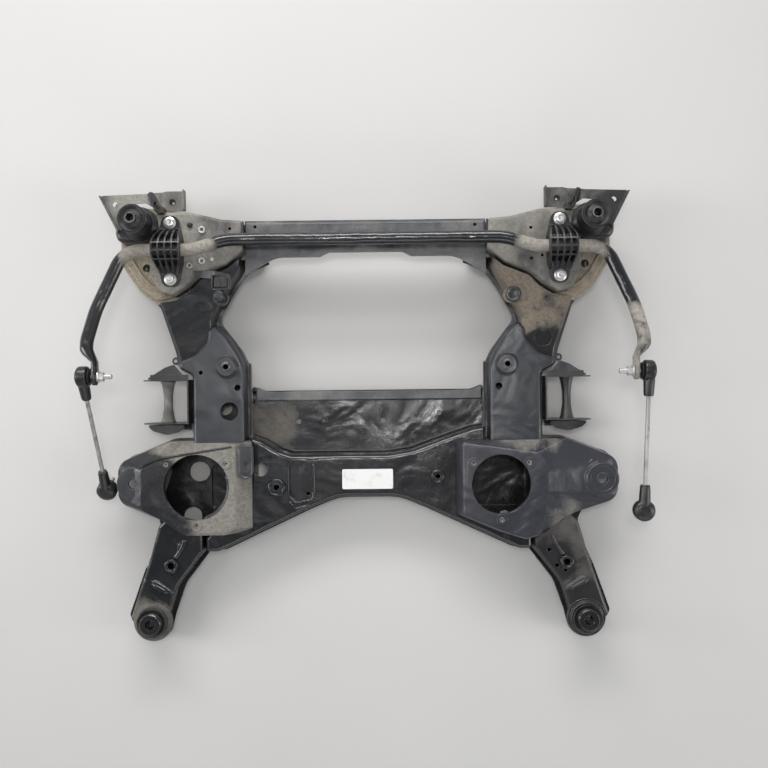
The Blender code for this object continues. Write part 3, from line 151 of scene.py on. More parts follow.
# Drop links
EYE_X = 506.5
EYE_Y = 84.0
EYE_Z = 190.0
EYE_THICKNESS = 11.0
EYE_RADIUS = 16.0
LINK_X = 531.0
LINK_LENGTH = 262.0
LINK_ROD_RADIUS = 4.0
SOCKET_RADIUS = 20.0
SOCKET_THICKNESS = 26.0
BALL_RADIUS = 8.0
STUD_RADIUS = 5.0
LEFT_LINK_SWING = 29.0
LEFT_LINK_TILT = 0.6
RIGHT_LINK_SWING = 0.0
RIGHT_LINK_TILT = 2.8

# Engine consoles with the rear control-arm ears
LEFT_ENGINE_X = 339.0
LEFT_ENGINE_Y = -136.0
LEFT_ENGINE_RADIUS = 65.0
RIGHT_ENGINE_X = 264.0
RIGHT_ENGINE_Y = -136.0
RIGHT_ENGINE_RADIUS = 59.0
LUG_HOLE_RADIUS = 5.5
EAR_X = 467.0
EAR_Y = -129.0
EAR_RADIUS = 38.0
EAR_HOLE_RADIUS = 9.5
EAR_TOP = CONSOLE_SHOULDER + 16
CONSOLE_FRONT_Y = -43.0
CONSOLE_REAR_Y = -229.0

# Rear arms and their bushes
ARM_END_RADIUS = 44.0
ARM_BORE = 26.0
REAR_BUSH_TOP = 92.0
REAR_SLEEVE_RADIUS = 12.5
REAR_SLEEVE_BORE = 8.0
ARM_BOSS = (397, -296)

# Front control-arm brackets on the side members
ARM_BRACKET_FRONT_Y = 75.0
ARM_BRACKET_REAR_Y = -9.0
ARM_BRACKET_OUTER_X = 449.0
ARM_BRACKET_WALL_X = 357.0
ARM_BRACKET_PIN_X = 404.0
ARM_BRACKET_PIN_Z = 54.0

# Finishes

class Shading:
    """A material's node graph, built by short calls that return sockets."""

    def __init__(self, name):
        self.material = bpy.data.materials.new(name)
        self.material.use_nodes = True
        self.tree = self.material.node_tree
        self.shader = self.tree.nodes["Principled BSDF"]
        self.place = self.node("ShaderNodeTexCoord").outputs
        self.rounded = None

    def node(self, kind, sockets=None, **settings):
        made = self.tree.nodes.new(kind)
        for key, value in settings.items():
            setattr(made, key, value)
        for key, value in (sockets or {}).items():
            self.feed(made.inputs[key], value)
        return made

    def feed(self, socket, value):
        if isinstance(value, bpy.types.NodeSocket):
            self.tree.links.new(value, socket)
        else:
            socket.default_value = value

    def stretched(self, scale):
        return self.node("ShaderNodeMapping", {"Vector": self.place["Object"], "Scale": scale}).outputs[0]

    def noise(self, scale, detail=4.0, rough=0.55, warp=0.0, vector=None):
        sockets = {"Vector": vector or self.place["Object"], "Scale": scale, "Detail": detail}
        sockets.update({"Roughness": rough, "Distortion": warp})
        return self.node("ShaderNodeTexNoise", sockets).outputs["Fac"]

    def ramp(self, value, low, high, start=0.0, end=1.0):
        sockets = {"Value": value, "From Min": low, "From Max": high, "To Min": start, "To Max": end}
        return self.node("ShaderNodeMapRange", sockets, interpolation_type="SMOOTHSTEP").outputs[0]

    def maths(self, operation, a, b):
        return self.node("ShaderNodeMath", {0: a, 1: b}, operation=operation, use_clamp=True).outputs[0]

    def blend(self, share, a, b):
        made = self.node("ShaderNodeMix", {"Factor": share}, data_type="RGBA")
        self.feed(made.inputs[6], a)
        self.feed(made.inputs[7], b)
        return made.outputs[2]

    def number(self, share, a, b):
        made = self.node("ShaderNodeMix", {"Factor": share}, data_type="FLOAT")
        self.feed(made.inputs[2], a)
        self.feed(made.inputs[3], b)
        return made.outputs[0]

    def edges(self, radius=0.0011, low=0.02, high=0.22):
        """1 along edges and 0 elsewhere, with the rounded normal kept for the relief."""
        self.rounded = self.node("ShaderNodeBevel", {"Radius": radius}, samples=4).outputs[0]
        true = self.node("ShaderNodeNewGeometry").outputs["Normal"]
        facing = self.node("ShaderNodeVectorMath", {0: self.rounded, 1: true}, operation="DOT_PRODUCT")
        return self.ramp(facing.outputs["Value"], 1.0 - low, 1.0 - high)

    def near(self, place, reach):
        """1 at a place and fading to 0 at its reach, in metres of the object's own space."""
        apart = self.node("ShaderNodeVectorMath", {0: self.place["Object"], 1: place}, operation="DISTANCE")
        return self.ramp(apart.outputs["Value"], reach, 0.35 * reach)

    def scratches(self, scale, low=0.66):
        lines = self.noise(1.0, 2.0, 0.5, 0.15, self.stretched(scale))
        return self.ramp(lines, low, low + 0.05)

    def relief(self, parts):
        """Bumps from (height socket, strength, distance) parts, stacked."""
        normal = self.rounded
        for height, strength, distance in parts:
            sockets = {"Height": height, "Strength": strength, "Distance": distance}
            if normal:
                sockets["Normal"] = normal
            normal = self.node("ShaderNodeBump", sockets).outputs[0]
        self.feed(self.shader.inputs["Normal"], normal)

    def finish(self, colour, roughness, metallic=0.0):
        self.feed(self.shader.inputs["Base Color"], colour)
        self.feed(self.shader.inputs["Roughness"], roughness)
        self.shader.inputs["Metallic"].default_value = metallic
        return self.material


def grey(value, warmth=0.0):
    return (value * (1 + warmth), value, value * (1 - warmth), 1.0)


BLACK = (0.006, 0.0065, 0.008, 1.0)
ROAD_DUST = (0.13, 0.112, 0.092, 1.0)


def painted(name, dust_and_sheen, dust_and_sheen_colour=ROAD_DUST, gloss=0.2, base=BLACK, wear_and_highlight=0.5, dust_and_sheen_patches=()):
    """Black stoving paint with road dusting in clouds and smears, fine scratches and lighter edges that are
    partly rubbed paint and partly painted edge highlights; the dusting also paints sheen on some pieces.
    """
    s = Shading(name)
    clouds = s.noise(6.0, 6.0, 0.62, 0.5)
    grain = s.noise(180.0, 5.0, 0.7)
    streaks = s.noise(1.0, 5.0, 0.65, 0.3, s.stretched((16.0, 11.0, 14.0)))
    smears = s.maths("ADD", s.number(0.5, clouds, streaks), s.maths("MULTIPLY", grain, 0.16))
    blots = s.ramp(s.noise(24.0, 6.0, 0.72, 0.4), 0.25, 0.6, 0.4, 1.0)
    # From here the dusting also carries painted sheen: the heavy pale dusting of the front cross member and
    # the pale band along the right console's front edge.
    for place, reach, amount in dust_and_sheen_patches:
        spot = s.maths("MULTIPLY", s.near(place, reach), blots)
        if amount > 0:
            smears = s.maths("ADD", smears, s.maths("MULTIPLY", spot, amount))
        else:
            smears = s.maths("SUBTRACT", smears, s.maths("MULTIPLY", spot, -amount))
    cut = 0.86 - 0.5 * dust_and_sheen
    mask = s.ramp(smears, cut - 0.12, cut + 0.16)
    film = s.maths("MULTIPLY", s.ramp(clouds, 0.3, 0.75), 0.05 + 0.25 * dust_and_sheen)
    mask = s.maths("MAXIMUM", mask, film)
    # Lighter edges: partly rubbed paint and partly painted edge highlights; hollow edges are lightened as
    # well as outer ones.
    edge = s.maths("MULTIPLY", s.edges(), s.ramp(s.noise(70.0, 4.0), 0.38, 0.62, 0.1, 1.0))
    dusty = s.blend(s.ramp(grain, 0.3, 0.75), dust_and_sheen_colour, tuple(0.5 * v for v in dust_and_sheen_colour[:3]) + (1.0,))
    colour = s.blend(s.maths("MULTIPLY", mask, 0.96), base, dusty)
    across, along = s.scratches((9.0, 520.0, 60.0), 0.7), s.scratches((430.0, 12.0, 60.0), 0.7)
    lines = s.number(s.ramp(clouds, 0.46, 0.5), across, along)
    marks = s.maths("MULTIPLY", lines, s.ramp(streaks, 0.5, 0.62, 0.0, 0.3))
    colour = s.blend(marks, colour, grey(0.12, 0.05))
    colour = s.blend(s.maths("MULTIPLY", edge, wear_and_highlight), colour, grey(0.34))
    rough = s.number(mask, s.ramp(grain, 0.2, 0.8, gloss, gloss + 0.14), 0.8)
    waves = s.noise(11.0, 2.0, 0.5, 0.6)
    s.relief([(waves, 0.5, 0.012), (clouds, 0.4, 0.006), (grain, 0.12, 0.0005)])
    s.shader.inputs["Specular IOR Level"].default_value = 0.6
    return s.finish(colour, rough)


def moulded(name):
    s = Shading(name)
    grain = s.noise(420.0, 3.0, 0.6)
    clouds = s.noise(22.0, 5.0, 0.6)
    mask = s.ramp(clouds, 0.52, 0.78, 0.0, 0.4)
    # Lighter edges: painted edge highlights on ribs and corners, partly scuffing.
    edge = s.maths("MULTIPLY", s.edges(0.0008), s.ramp(clouds, 0.3, 0.7, 0.25, 0.8))
    colour = s.blend(mask, grey(0.008), grey(0.07, 0.12))
    colour = s.blend(edge, colour, grey(0.42, 0.03))
    s.relief([(grain, 0.2, 0.0004)])
    return s.finish(colour, s.number(mask, s.ramp(grain, 0.3, 0.7, 0.28, 0.42), 0.7))


def rubbery(name):
    s = Shading(name)
    clouds = s.noise(30.0, 6.0, 0.65)
    grain = s.noise(300.0, 3.0, 0.6)
    mask = s.ramp(clouds, 0.5, 0.78, 0.0, 0.55)
    # Lighter edges: painted edge highlights.
    edge = s.maths("MULTIPLY", s.edges(), 0.35)
    colour = s.blend(mask, grey(0.01), grey(0.08, 0.14))
    colour = s.blend(edge, colour, grey(0.16))
    s.relief([(grain, 0.25, 0.0005)])
    return s.finish(colour, s.number(mask, 0.45, 0.85))


def zinc(name):
    """Bright zinc plating, a little dulled, with dirt in the corners and edges lightened as painted edge
    highlights.
    """
    s = Shading(name)
    clouds = s.noise(90.0, 4.0, 0.5)
    marks = s.ramp(s.noise(240.0, 4.0, 0.7), 0.58, 0.75)
    colour = s.blend(s.ramp(clouds, 0.3, 0.7), grey(0.62, 0.01), grey(0.42, 0.03))
    colour = s.blend(s.maths("MULTIPLY", marks, 0.35), colour, grey(0.2, 0.1))
    # Lighter edges: painted edge highlights.
    colour = s.blend(s.maths("MULTIPLY", s.edges(0.0006), 0.6), colour, grey(0.8))
    s.relief([(clouds, 0.08, 0.0003)])
    return s.finish(colour, s.ramp(clouds, 0.3, 0.7, 0.3, 0.45), 0.75)


def rod_steel(name):
    """Dull plated steel, as on the drop links' rods."""
    s = Shading(name)
    clouds = s.noise(70.0, 5.0, 0.6)
    streaks = s.noise(1.0, 4.0, 0.6, 0.2, s.stretched((160.0, 9.0, 160.0)))
    colour = s.blend(s.ramp(streaks, 0.35, 0.65), grey(0.36, 0.04), grey(0.2, 0.08))
    colour = s.blend(s.ramp(clouds, 0.5, 0.75, 0.0, 0.7), colour, grey(0.12, 0.14))
    s.relief([(clouds, 0.08, 0.0003)])
    return s.finish(colour, s.ramp(clouds, 0.3, 0.7, 0.42, 0.6), 0.5)


def bare_steel(name):
    s = Shading(name)
    clouds = s.noise(60.0, 5.0, 0.65)
    colour = s.blend(s.ramp(clouds, 0.35, 0.65), grey(0.16, 0.03), grey(0.04, 0.15))
    # Lighter edges: painted edge highlights.
    colour = s.blend(s.maths("MULTIPLY", s.edges(0.0008), 0.7), colour, grey(0.4))
    s.relief([(s.noise(350.0, 3.0), 0.15, 0.0004)])
    return s.finish(colour, s.ramp(clouds, 0.3, 0.7, 0.34, 0.6), 0.6)


# Each paint's dusting, sheen and other settings; a patch is a place in metres, its reach and how much pale
# tone it adds: road dusting, except where a comment marks it as painted sheen, and a negative amount takes
# dusting away.
BAR_PATCHES = [
    ((-0.345, 0.328, 0.138), 0.085, 0.6), ((0.345, 0.328, 0.138), 0.085, 0.6),
    ((-0.425, 0.328, 0.138), 0.07, 0.5), ((0.425, 0.328, 0.138), 0.07, 0.5),
    ((0.521, 0.16, 0.165), 0.085, 0.5), ((0.508, 0.09, 0.19), 0.04, 0.4), ((-0.508, 0.09, 0.19), 0.03, 0.3),
]
# The first patch pales the left console's front wall, as road dusting and painted sheen together; the one at
# x 0.33 is the painted sheen band of the right console's front edge.
CONSOLE_DUST_AND_SHEEN = [
    ((-0.36, -0.05, 0.09), 0.1, 0.5), ((-0.27, -0.19, 0.104), 0.12, 0.5), ((-0.25, -0.08, 0.104), 0.08, 0.4),
    ((-0.41, -0.115, 0.104), 0.06, -0.5), ((0.33, -0.045, 0.085), 0.09, 0.35),
    ((0.31, -0.15, 0.104), 0.11, -0.3),
]
# The first two patches paint a pale band of sheen along the right console's front edge; the third is road
# dusting, and the negative ones take dusting away.
RIGHT_CONSOLE_DUST_AND_SHEEN = [
    ((0.3, -0.035, 0.085), 0.06, 0.3), ((0.35, -0.04, 0.085), 0.06, 0.3), ((0.38, -0.19, 0.09), 0.06, 0.22),
    ((0.43, -0.11, 0.09), 0.07, -0.5), ((0.5, -0.13, 0.1), 0.04, 0.2), ((0.28, -0.15, 0.104), 0.09, -0.4),
]
COVER_PATCHES = [
    ((0.34, 0.235, 0.1), 0.13, 0.42), ((0.29, 0.27, 0.1), 0.08, 0.3), ((0.36, 0.13, 0.09), 0.06, -0.5),
]
LEFT_ARM_PATCHES = [((-0.44, -0.41, 0.09), 0.07, 0.3), ((-0.385, -0.3, 0.08), 0.06, -0.3)]
RIGHT_ARM_PATCHES = [((0.37, -0.3, 0.07), 0.05, -0.3), ((0.43, -0.38, 0.09), 0.06, -0.25)]
PAINTS = {
    "rear": dict(dust_and_sheen=0.12, gloss=0.14, dust_and_sheen_patches=[((-0.21, -0.02, 0.02), 0.09, 0.3)]),
    "arm_left": dict(dust_and_sheen=0.34, dust_and_sheen_colour=(0.15, 0.135, 0.11, 1.0), gloss=0.16, dust_and_sheen_patches=LEFT_ARM_PATCHES),
    "arm_right": dict(dust_and_sheen=0.5, dust_and_sheen_colour=(0.085, 0.072, 0.06, 1.0), dust_and_sheen_patches=RIGHT_ARM_PATCHES),
    "console_right": dict(dust_and_sheen=0.16, dust_and_sheen_colour=(0.19, 0.175, 0.155, 1.0), gloss=0.22,
                          base=(0.017, 0.018, 0.025, 1.0), dust_and_sheen_patches=RIGHT_CONSOLE_DUST_AND_SHEEN),
    "console": dict(dust_and_sheen=0.2, dust_and_sheen_colour=(0.2, 0.185, 0.16, 1.0), dust_and_sheen_patches=CONSOLE_DUST_AND_SHEEN),
    "member": dict(dust_and_sheen=0.12, gloss=0.26, base=(0.014, 0.016, 0.021, 1.0)),
    "pan": dict(dust_and_sheen=0.2, gloss=0.3, base=(0.012, 0.013, 0.016, 1.0)),
    "cover_left": dict(dust_and_sheen=0.16, gloss=0.24),
    "cover_right": dict(dust_and_sheen=0.1, dust_and_sheen_colour=(0.19, 0.155, 0.115, 1.0), dust_and_sheen_patches=COVER_PATCHES),
    "gusset": dict(dust_and_sheen=0.66, dust_and_sheen_colour=(0.3, 0.28, 0.245, 1.0), gloss=0.4,
                   dust_and_sheen_patches=[((-0.385, 0.33, 0.115), 0.1, 0.1)]),
    "gusset_lower": dict(dust_and_sheen=0.82, dust_and_sheen_colour=(0.36, 0.3, 0.22, 1.0), gloss=0.45),
    "tower": dict(dust_and_sheen=0.3, dust_and_sheen_colour=(0.16, 0.145, 0.12, 1.0), gloss=0.28),
    # On the front cross member this heavy pale dusting is painted sheen on its upper flange; on the shelf
    # flange it is road dusting.
    "beam": dict(dust_and_sheen=0.5, dust_and_sheen_colour=(0.2, 0.195, 0.185, 1.0), gloss=0.24, base=(0.02, 0.022, 0.027, 1.0)),
    "bar": dict(dust_and_sheen=0.05, dust_and_sheen_colour=(0.3, 0.275, 0.235, 1.0), gloss=0.12, dust_and_sheen_patches=BAR_PATCHES),
    "bracket": dict(dust_and_sheen=0.34, gloss=0.28),
    "plate": dict(dust_and_sheen=0.5, dust_and_sheen_colour=(0.27, 0.255, 0.225, 1.0), gloss=0.3,
                  dust_and_sheen_patches=[((-0.45, 0.42, 0.1), 0.07, 0.25), ((0.5, 0.4, 0.1), 0.06, -0.5)]),
    "weld": dict(dust_and_sheen=0.3, dust_and_sheen_colour=(0.2, 0.18, 0.15, 1.0), gloss=0.3, wear_and_highlight=0.7),
}


def finishes():
    made = {name: painted(f"paint_{name}", **settings) for name, settings in PAINTS.items()}
    made["zinc"] = zinc("zinc_plating")
    made["rod"] = rod_steel("rod_plating")
    made["steel"] = bare_steel("bare_steel_face")
    made["rubber"] = rubbery("rubber_bush")
    made["plastic"] = moulded("moulded_socket")
    return made


# The nodes of each finish, by the start of their names
FINISH_OF = {
    "arm_left": ("rear_arm_left",),
    "arm_right": ("rear_arm_right",),
    "rear": ("rear_crossmember", "rear_bush_sleeve"),
    "console": ("engine_console_left",),
    "console_right": ("engine_console_right",),
    "member": ("side_member_upper", "rack_mount"),
    "pan": ("side_member_lower",),
    "cover_left": ("front_cover_left",),
    "cover_right": ("front_cover_right",),
    "gusset": ("front_gusset_upper",),
    "gusset_lower": ("front_gusset_lower",),
    "tower": ("front_tower",),
    "beam": ("front_crossmember",),
    "bar": ("anti_roll_bar",),
    "plate": ("front_bracket",),
    "bracket": ("arm_bracket", "cable_bracket"),
    "zinc": ("clamp_bolt", "link_nut", "link_upper_stud", "link_lower_stud"),
    "rod": ("link_rod",),
    "steel": ("front_bush_sleeve",),
    "rubber": ("front_bush_rubber", "rear_bush_rubber", "bar_bush", "link_upper_boot", "link_lower_boot"),
    "plastic": ("bar_clamp", "link_upper_housing", "link_lower_housing"),
}


def outline(corners, inset=0.0):
    """Points of a closed anticlockwise outline, moved inwards by inset.

    Each corner is (x, y, radius) or (x, y, radius, steps of its arc). An inset changes no corner's number
    of points, so insets can be bridged, and so can outlines whose corners state the same steps.
    """
    edges = []
    for index, corner in enumerate(corners):
        start = Vector(corner[:2])
        along = (Vector(corners[(index + 1) % len(corners)][:2]) - start).normalized()
        edges.append((start + inset * Vector((-along.y, along.x)), along))
    points = []
    for index, corner in enumerate(corners):
        (before, into), (after, out) = edges[index - 1], edges[index]
        turn = math.atan2(into.cross(out), into.dot(out))
        meeting = before + into * ((after - before).cross(out) / into.cross(out))
        steps = arc_steps(corner, turn)
        if corner[2] == 0 and len(corner) < 4:
            points.append(meeting)
            continue
        radius = max(corner[2] - math.copysign(inset, turn), 0.4)
        tangent = meeting - into * (radius * math.tan(abs(turn) / 2))
        side = math.copysign(1, turn) * Vector((-into.y, into.x))
        centre = tangent + side * radius
        for step in range(steps + 1):
            points.append(centre + Matrix.Rotation(turn * step / steps, 2) @ (tangent - centre))
    return points


def arc_steps(corner, turn):
    """A corner that states its steps gets several times as many, so that matched outlines stay matched."""
    if len(corner) > 3:
        return 3 * corner[3] + 3
    return max(2, round(abs(turn) / ARC_STEP))


def mirrored(corners):
    """The same outline on the other side of the middle plane, still anticlockwise."""
    return [(-x, y, *rest) for x, y, *rest in reversed(corners)]


def on_side(side, corners):
    return corners if side > 0 else mirrored(corners)


def whole(corners):
    """A full outline from its right half, listed from the rear middle round to the front middle."""
    return corners + mirrored(corners)


def level(points, height):
    """Points raised to a height, which is a number or a plane over (x, y)."""
    if callable(height):
        return [(p[0], p[1], height(p[0], p[1])) for p in points]
    return [(p[0], p[1], height) for p in points]


def lowered(height, drop):
    if callable(height):
        return lambda x, y: height(x, y) - drop
    return height - drop


def loft(rings):
    """A closed solid through rings of equally many points, with a face over each end."""
    count = len(rings[0])
    points = [tuple(point) for ring in rings for point in ring]
    faces = [list(range(count))[::-1], [len(points) - count + i for i in range(count)]]
    for start in range(0, len(points) - count, count):
        for i in range(count):
            j = (i + 1) % count
            faces.append([start + i, start + j, start + count + j, start + count + i])
    return points, faces


def tray(levels, sheet=SHEET, rim=None, flange=0.0):
    """A drawn sheet, open at its first level and closed at its last.

    Each level is (corners, inset, height, lean) of the outer skin, where lean is 0 on a wall and 1 on a flat.
    The last two are its rolled edge. A flange runs out to the rim's outline, or by its own width.
    """
    rise = rise_of(levels)
    corners, inset, height, _ = levels[-1]
    rings = [level(outline(corners, inset), lowered(height, rise * sheet))]
    for corners, inset, height, lean in reversed(levels[:-1]):
        slope = lean * math.pi / 2
        inner = lowered(height, rise * sheet * math.sin(slope))
        rings.append(level(outline(corners, inset + sheet * math.cos(slope)), inner))
    if rim or flange:
        corners, inset, height, _ = levels[0]
        edge = outline(rim or corners, 0.0 if rim else inset - flange)
        rings.append(level(edge, height))
        rings.append(level(edge, lowered(height, -rise * sheet)))
        rings.append(level(outline(corners, inset), lowered(height, -rise * sheet)))
        levels = levels[1:]
    for corners, inset, height, _ in levels:
        rings.append(level(outline(corners, inset), height))
    return loft(rings)


def rise_of(levels):
    return math.copysign(1, plain(levels[-1][2]) - plain(levels[0][2]))


def plain(height):
    return height(0, 0) if callable(height) else height


def rolled_edge(corners, inset, top, radius, rise=1):
    """The last levels of a tray: a quarter round from its wall to its flat face."""
    levels = []
    for step in range(EDGE_STEPS + 1):
        slope = math.pi / 2 * step / EDGE_STEPS
        drop = rise * radius * (1 - math.sin(slope))
        inwards = inset + radius * (1 - math.cos(slope))
        levels.append((corners, inwards, lowered(top, drop), step / EDGE_STEPS))
    return levels


def envelope(levels, flange=0.0, beyond=60.0, grow=GAP):
    """What a tray's outside takes up, with a clearance round it, to cut a neighbour with."""
    rise = rise_of(levels)
    corners, inset, height, _ = levels[0]
    edge = outline(corners, inset - flange - grow)
    rings = [level(edge, lowered(height, rise * beyond))]
    if flange:
        rings.append(level(edge, lowered(height, -rise * (SHEET + grow))))
        rings.append(level(outline(corners, inset - grow), lowered(height, -rise * (SHEET + grow))))
        levels = levels[1:]
    for corners, inset, height, _ in levels[:-1]:
        rings.append(level(outline(corners, inset - grow), height))
    corners, inset, height, _ = levels[-1]
    rings.append(level(outline(corners, inset - grow), lowered(height, -rise * grow)))
    return loft(rings)


def prism(corners, bottom, top, inset=0.0):
    points = outline(corners, inset)
    return loft([level(points, bottom), level(points, top)])


def circle(x, y, radius, sides=SMALL_SIDES):
    steps = [2 * math.pi * (i + 0.5) / sides for i in range(sides)]
    return [(x + radius * math.cos(a), y + radius * math.sin(a)) for a in steps]


def drum(x, y, radius, bottom, top, sides=SMALL_SIDES):
    """An upright cylinder."""
    points = circle(x, y, radius, sides)
    return loft([level(points, bottom), level(points, top)])


def turned(profile, sides=ROUND_SIDES, hollow=False):
    """A solid of revolution about +Z from (radius, height) points.

    A hollow one's profile is a closed loop beside the axis. The others start and end on flat end faces.
    """
    rings = [level(circle(0, 0, radius, sides), height) for radius, height in profile]
    if not hollow:
        return loft(rings)
    points, faces = loft(rings + rings[:1])
    count = len(rings) * sides
    return points[:count], [[i % count for i in face] for face in faces[2:]]


def bar_stock(points, low, high, axis="x"):
    """A section drawn along X or Y: points are (y, z) for X and (x, z) for Y."""
    if axis == "x":
        return loft([[(low, a, b) for a, b in points], [(high, a, b) for a, b in points]])
    return loft([[(a, low, b) for a, b in points], [(a, high, b) for a, b in points]])


def box(x0, x1, y0, y1, z0, z1):
    corners = [(x0, y0), (x1, y0), (x1, y1), (x0, y1)]
    return loft([level(corners, z0), level(corners, z1)])


def arc_points(x, y, radius, angles):
    """Points round a centre at angles in degrees."""
    turns = [math.radians(angle) for angle in angles]
    return [(x + radius * math.cos(a), y + radius * math.sin(a)) for a in turns]


def moved(solid, matrix):
    points, faces = solid
    return [tuple(matrix @ Vector(point)) for point in points], faces


def at(x, y, z):
    return Matrix.Translation((x, y, z))


def ring_at(x, y, profile, sides=ROUND_SIDES, z=0):
    """A hollow solid of revolution standing at a point of the plan."""
    return moved(turned(profile, sides, hollow=True), at(x, y, z))


TO_X = Matrix.Rotation(math.radians(90), 4, "Y")
TO_Y = Matrix.Rotation(math.radians(-90), 4, "X")


def flipped(side, solid):
    """The solid itself on the right, and its mirror image on the left."""
    points, faces = solid
    return [(side * x, y, z) for x, y, z in points], faces


def together(solids):
    """Solids that don't touch, as one mesh, which saves a Boolean for each."""
    points, faces = [], []
    for more, sides in solids:
        faces += [[len(points) + i for i in side] for side in sides]
        points += more
    return points, faces


def mesh_of(name, solid):
    points, faces = solid
    mesh = bpy.data.meshes.new(name)
    mesh.from_pydata([Vector(p) * MM for p in points], [], faces)
    form = bmesh.new()
    form.from_mesh(mesh)
    bmesh.ops.recalc_face_normals(form, faces=form.faces)
    if form.calc_volume(signed=True) < 0:
        bmesh.ops.reverse_faces(form, faces=form.faces)
    form.to_mesh(mesh)
    form.free()
    return mesh


def placed(name, data):
    """A new object of this data in the scene."""
    made = bpy.data.objects.new(name, data)
    bpy.context.scene.collection.objects.link(made)
    return made


def smoothed(mesh):
    """Smooth shading between a mesh's sharp edges."""
    mesh.polygons.foreach_set("use_smooth", [True] * len(mesh.polygons))
    mesh.set_sharp_from_angle(angle=SHARP_ANGLE)
    return mesh


LOOKS = {}
TOOLS = []


def piece(name, solid):
    """A finer skin for the CAD node of this name, kept in the frame's own coordinates."""
    made = placed(name + "_skin", mesh_of(name + "_skin", solid))
    LOOKS[made.name] = name
    return made


def work(body, solid, operation):
    """Joins a solid to the piece, cuts it out or keeps what they share. The helper is removed later."""
    helper = placed("tool", mesh_of("tool", solid))
    TOOLS.append(helper)
    step = body.modifiers.new(operation.lower(), "BOOLEAN")
    step.operation, step.solver, step.object = operation, "MANIFOLD", helper


def bake_pieces():
    """Turns every piece's Booleans into plain mesh, removes the helpers and seats each piece on its body."""
    graph = bpy.context.evaluated_depsgraph_get()
    for skin, node in LOOKS.items():
        made = bpy.data.objects[skin]
        mesh = bpy.data.meshes.new_from_object(made.evaluated_get(graph))
        made.modifiers.clear()
        made.data = mesh
        if not mesh.polygons:
            raise RuntimeError(f"{skin} has no faces")
        smoothed(mesh)
        weigh = made.modifiers.new("weigh", "WEIGHTED_NORMAL")
        weigh.keep_sharp = True
        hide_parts(node)
        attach(made, BODY_OF[node])
    for helper in TOOLS:
        bpy.data.objects.remove(helper)


def add(body, *solids):
    for solid in solids:
        work(body, solid, "UNION")


def cut(body, *solids):
    for solid in solids:
        work(body, solid, "DIFFERENCE")


def keep(body, solid):
    work(body, solid, "INTERSECT")


def drill(body, spots, bottom, top):
    """Round holes at (x, y, radius) spots, between two heights."""
    cut(body, together([drum(x, y, radius, bottom, top) for x, y, radius in spots]))


def sunk(body, corners, top, depth):
    """A pocket pressed down into a sheet whose upper face is at top."""
    add(body, prism(corners, lowered(top, depth + SHEET), lowered(top, SHEET / 2), inset=-SHEET))
    cut(body, prism(corners, lowered(top, depth), lowered(top, -20)))


# Rear cross member: one lower sheet with its front lip and raised arm floors, and an upper shell

PLATE_TOP = SWAGE_DEPTH + SHEET
LIP_FRONT_Y = 64.0
LIP_DEPTH = 11.0
LIP_HEIGHT = 11.0
ARM_RISE_FRONT_Y = -276.0
ARM_RISE_REAR_Y = -308.0
PLATE_MARGIN = 6.5
SHELF_HOLES = [
    (-144, -11, 5.5), (-92, -9, 4.0), (-29, -10, 4.0), (31, -11, 5.5), (94, -9, 6.0), (148, 4, 5.0),
]
LEFT_FLOOR_HOLES = [(-351, -113, 21), (-366, -205, 19), (-226, -110, 17)]
RIGHT_FLOOR_HOLES = [(364, -120, 24), (282, -212, 12)]
FLOOR_SWAGES = (
    [(222, -190, 8), (326, -190, 8), (326, -100, 8), (222, -100, 8)],
    [(44, -148, 8), (168, -148, 8), (168, -96, 8), (44, -96, 8)],
)
ARCH = [(62, -163, 90), (120, -187, 80), (264, -254, 60), (303, -272, 26)]


def floor_line(lift):
    """The bent sheet's upper face seen from the side, raised by lift: (y, z) from its front lip backwards."""
    raised = PLATE_TOP + LIP_HEIGHT + lift
    return [
        (LIP_FRONT_Y + 20, raised),
        (LIP_FRONT_Y - LIP_DEPTH, raised),
        (LIP_FRONT_Y - LIP_DEPTH - 6, PLATE_TOP + lift),
        (ARM_RISE_FRONT_Y, PLATE_TOP + lift),
        (ARM_RISE_REAR_Y, ARM_FLOOR_Z + SHEET + lift),
        (REAR_MOUNT_Y - 80, ARM_FLOOR_Z + SHEET + lift),
    ]


def arm_outline(margin):
    """The arm's edges from its inner root round the mount and back up outside, spread by margin."""
    x, y, r = REAR_MOUNT_X, REAR_MOUNT_Y, ARM_END_RADIUS
    return [
        (x - 106 - margin, y + 140, 12),
        (x - 81 - margin, y + 106, 40),
        (x - 54 - margin, y + 71, 60),
        (x - 33 - margin, y + 10, 50),
        (x - 22 - margin, y - 0.64 * r - margin, 20),
        (x + 23 + margin, y - 0.76 * r - margin, 20),
        (x + 50 + margin, y + 6, 10),
        (x + 7 + margin, y + 128, 80),
    ]


def ear_outline(margin):
    """The rounded tip that carries the control arm's rear bush."""
    tip = EAR_X + EAR_RADIUS + margin
    half = EAR_RADIUS + 5 + margin
    return [(tip, EAR_Y - half, 34, 3), (tip, EAR_Y + half, 34, 3)]


def plate_outline():
    arch = [(x, y - PLATE_MARGIN, r) for x, y, r in ARCH]
    half = arch + arm_outline(PLATE_MARGIN)
    half += [(433, CONSOLE_REAR_Y + 8, 20), (450, EAR_Y - 57, 20)] + ear_outline(3)
    half += [
        (402, MEMBER_REAR_Y - 0.5, 30),
        (MEMBER_INNER_X - 1, MEMBER_REAR_Y - 0.5, 5),
        (MEMBER_INNER_X - 1, LIP_FRONT_Y, 6),
        (MEMBER_INNER_X - 28, LIP_FRONT_Y - 11, 20),
    ]
    return whole(half)


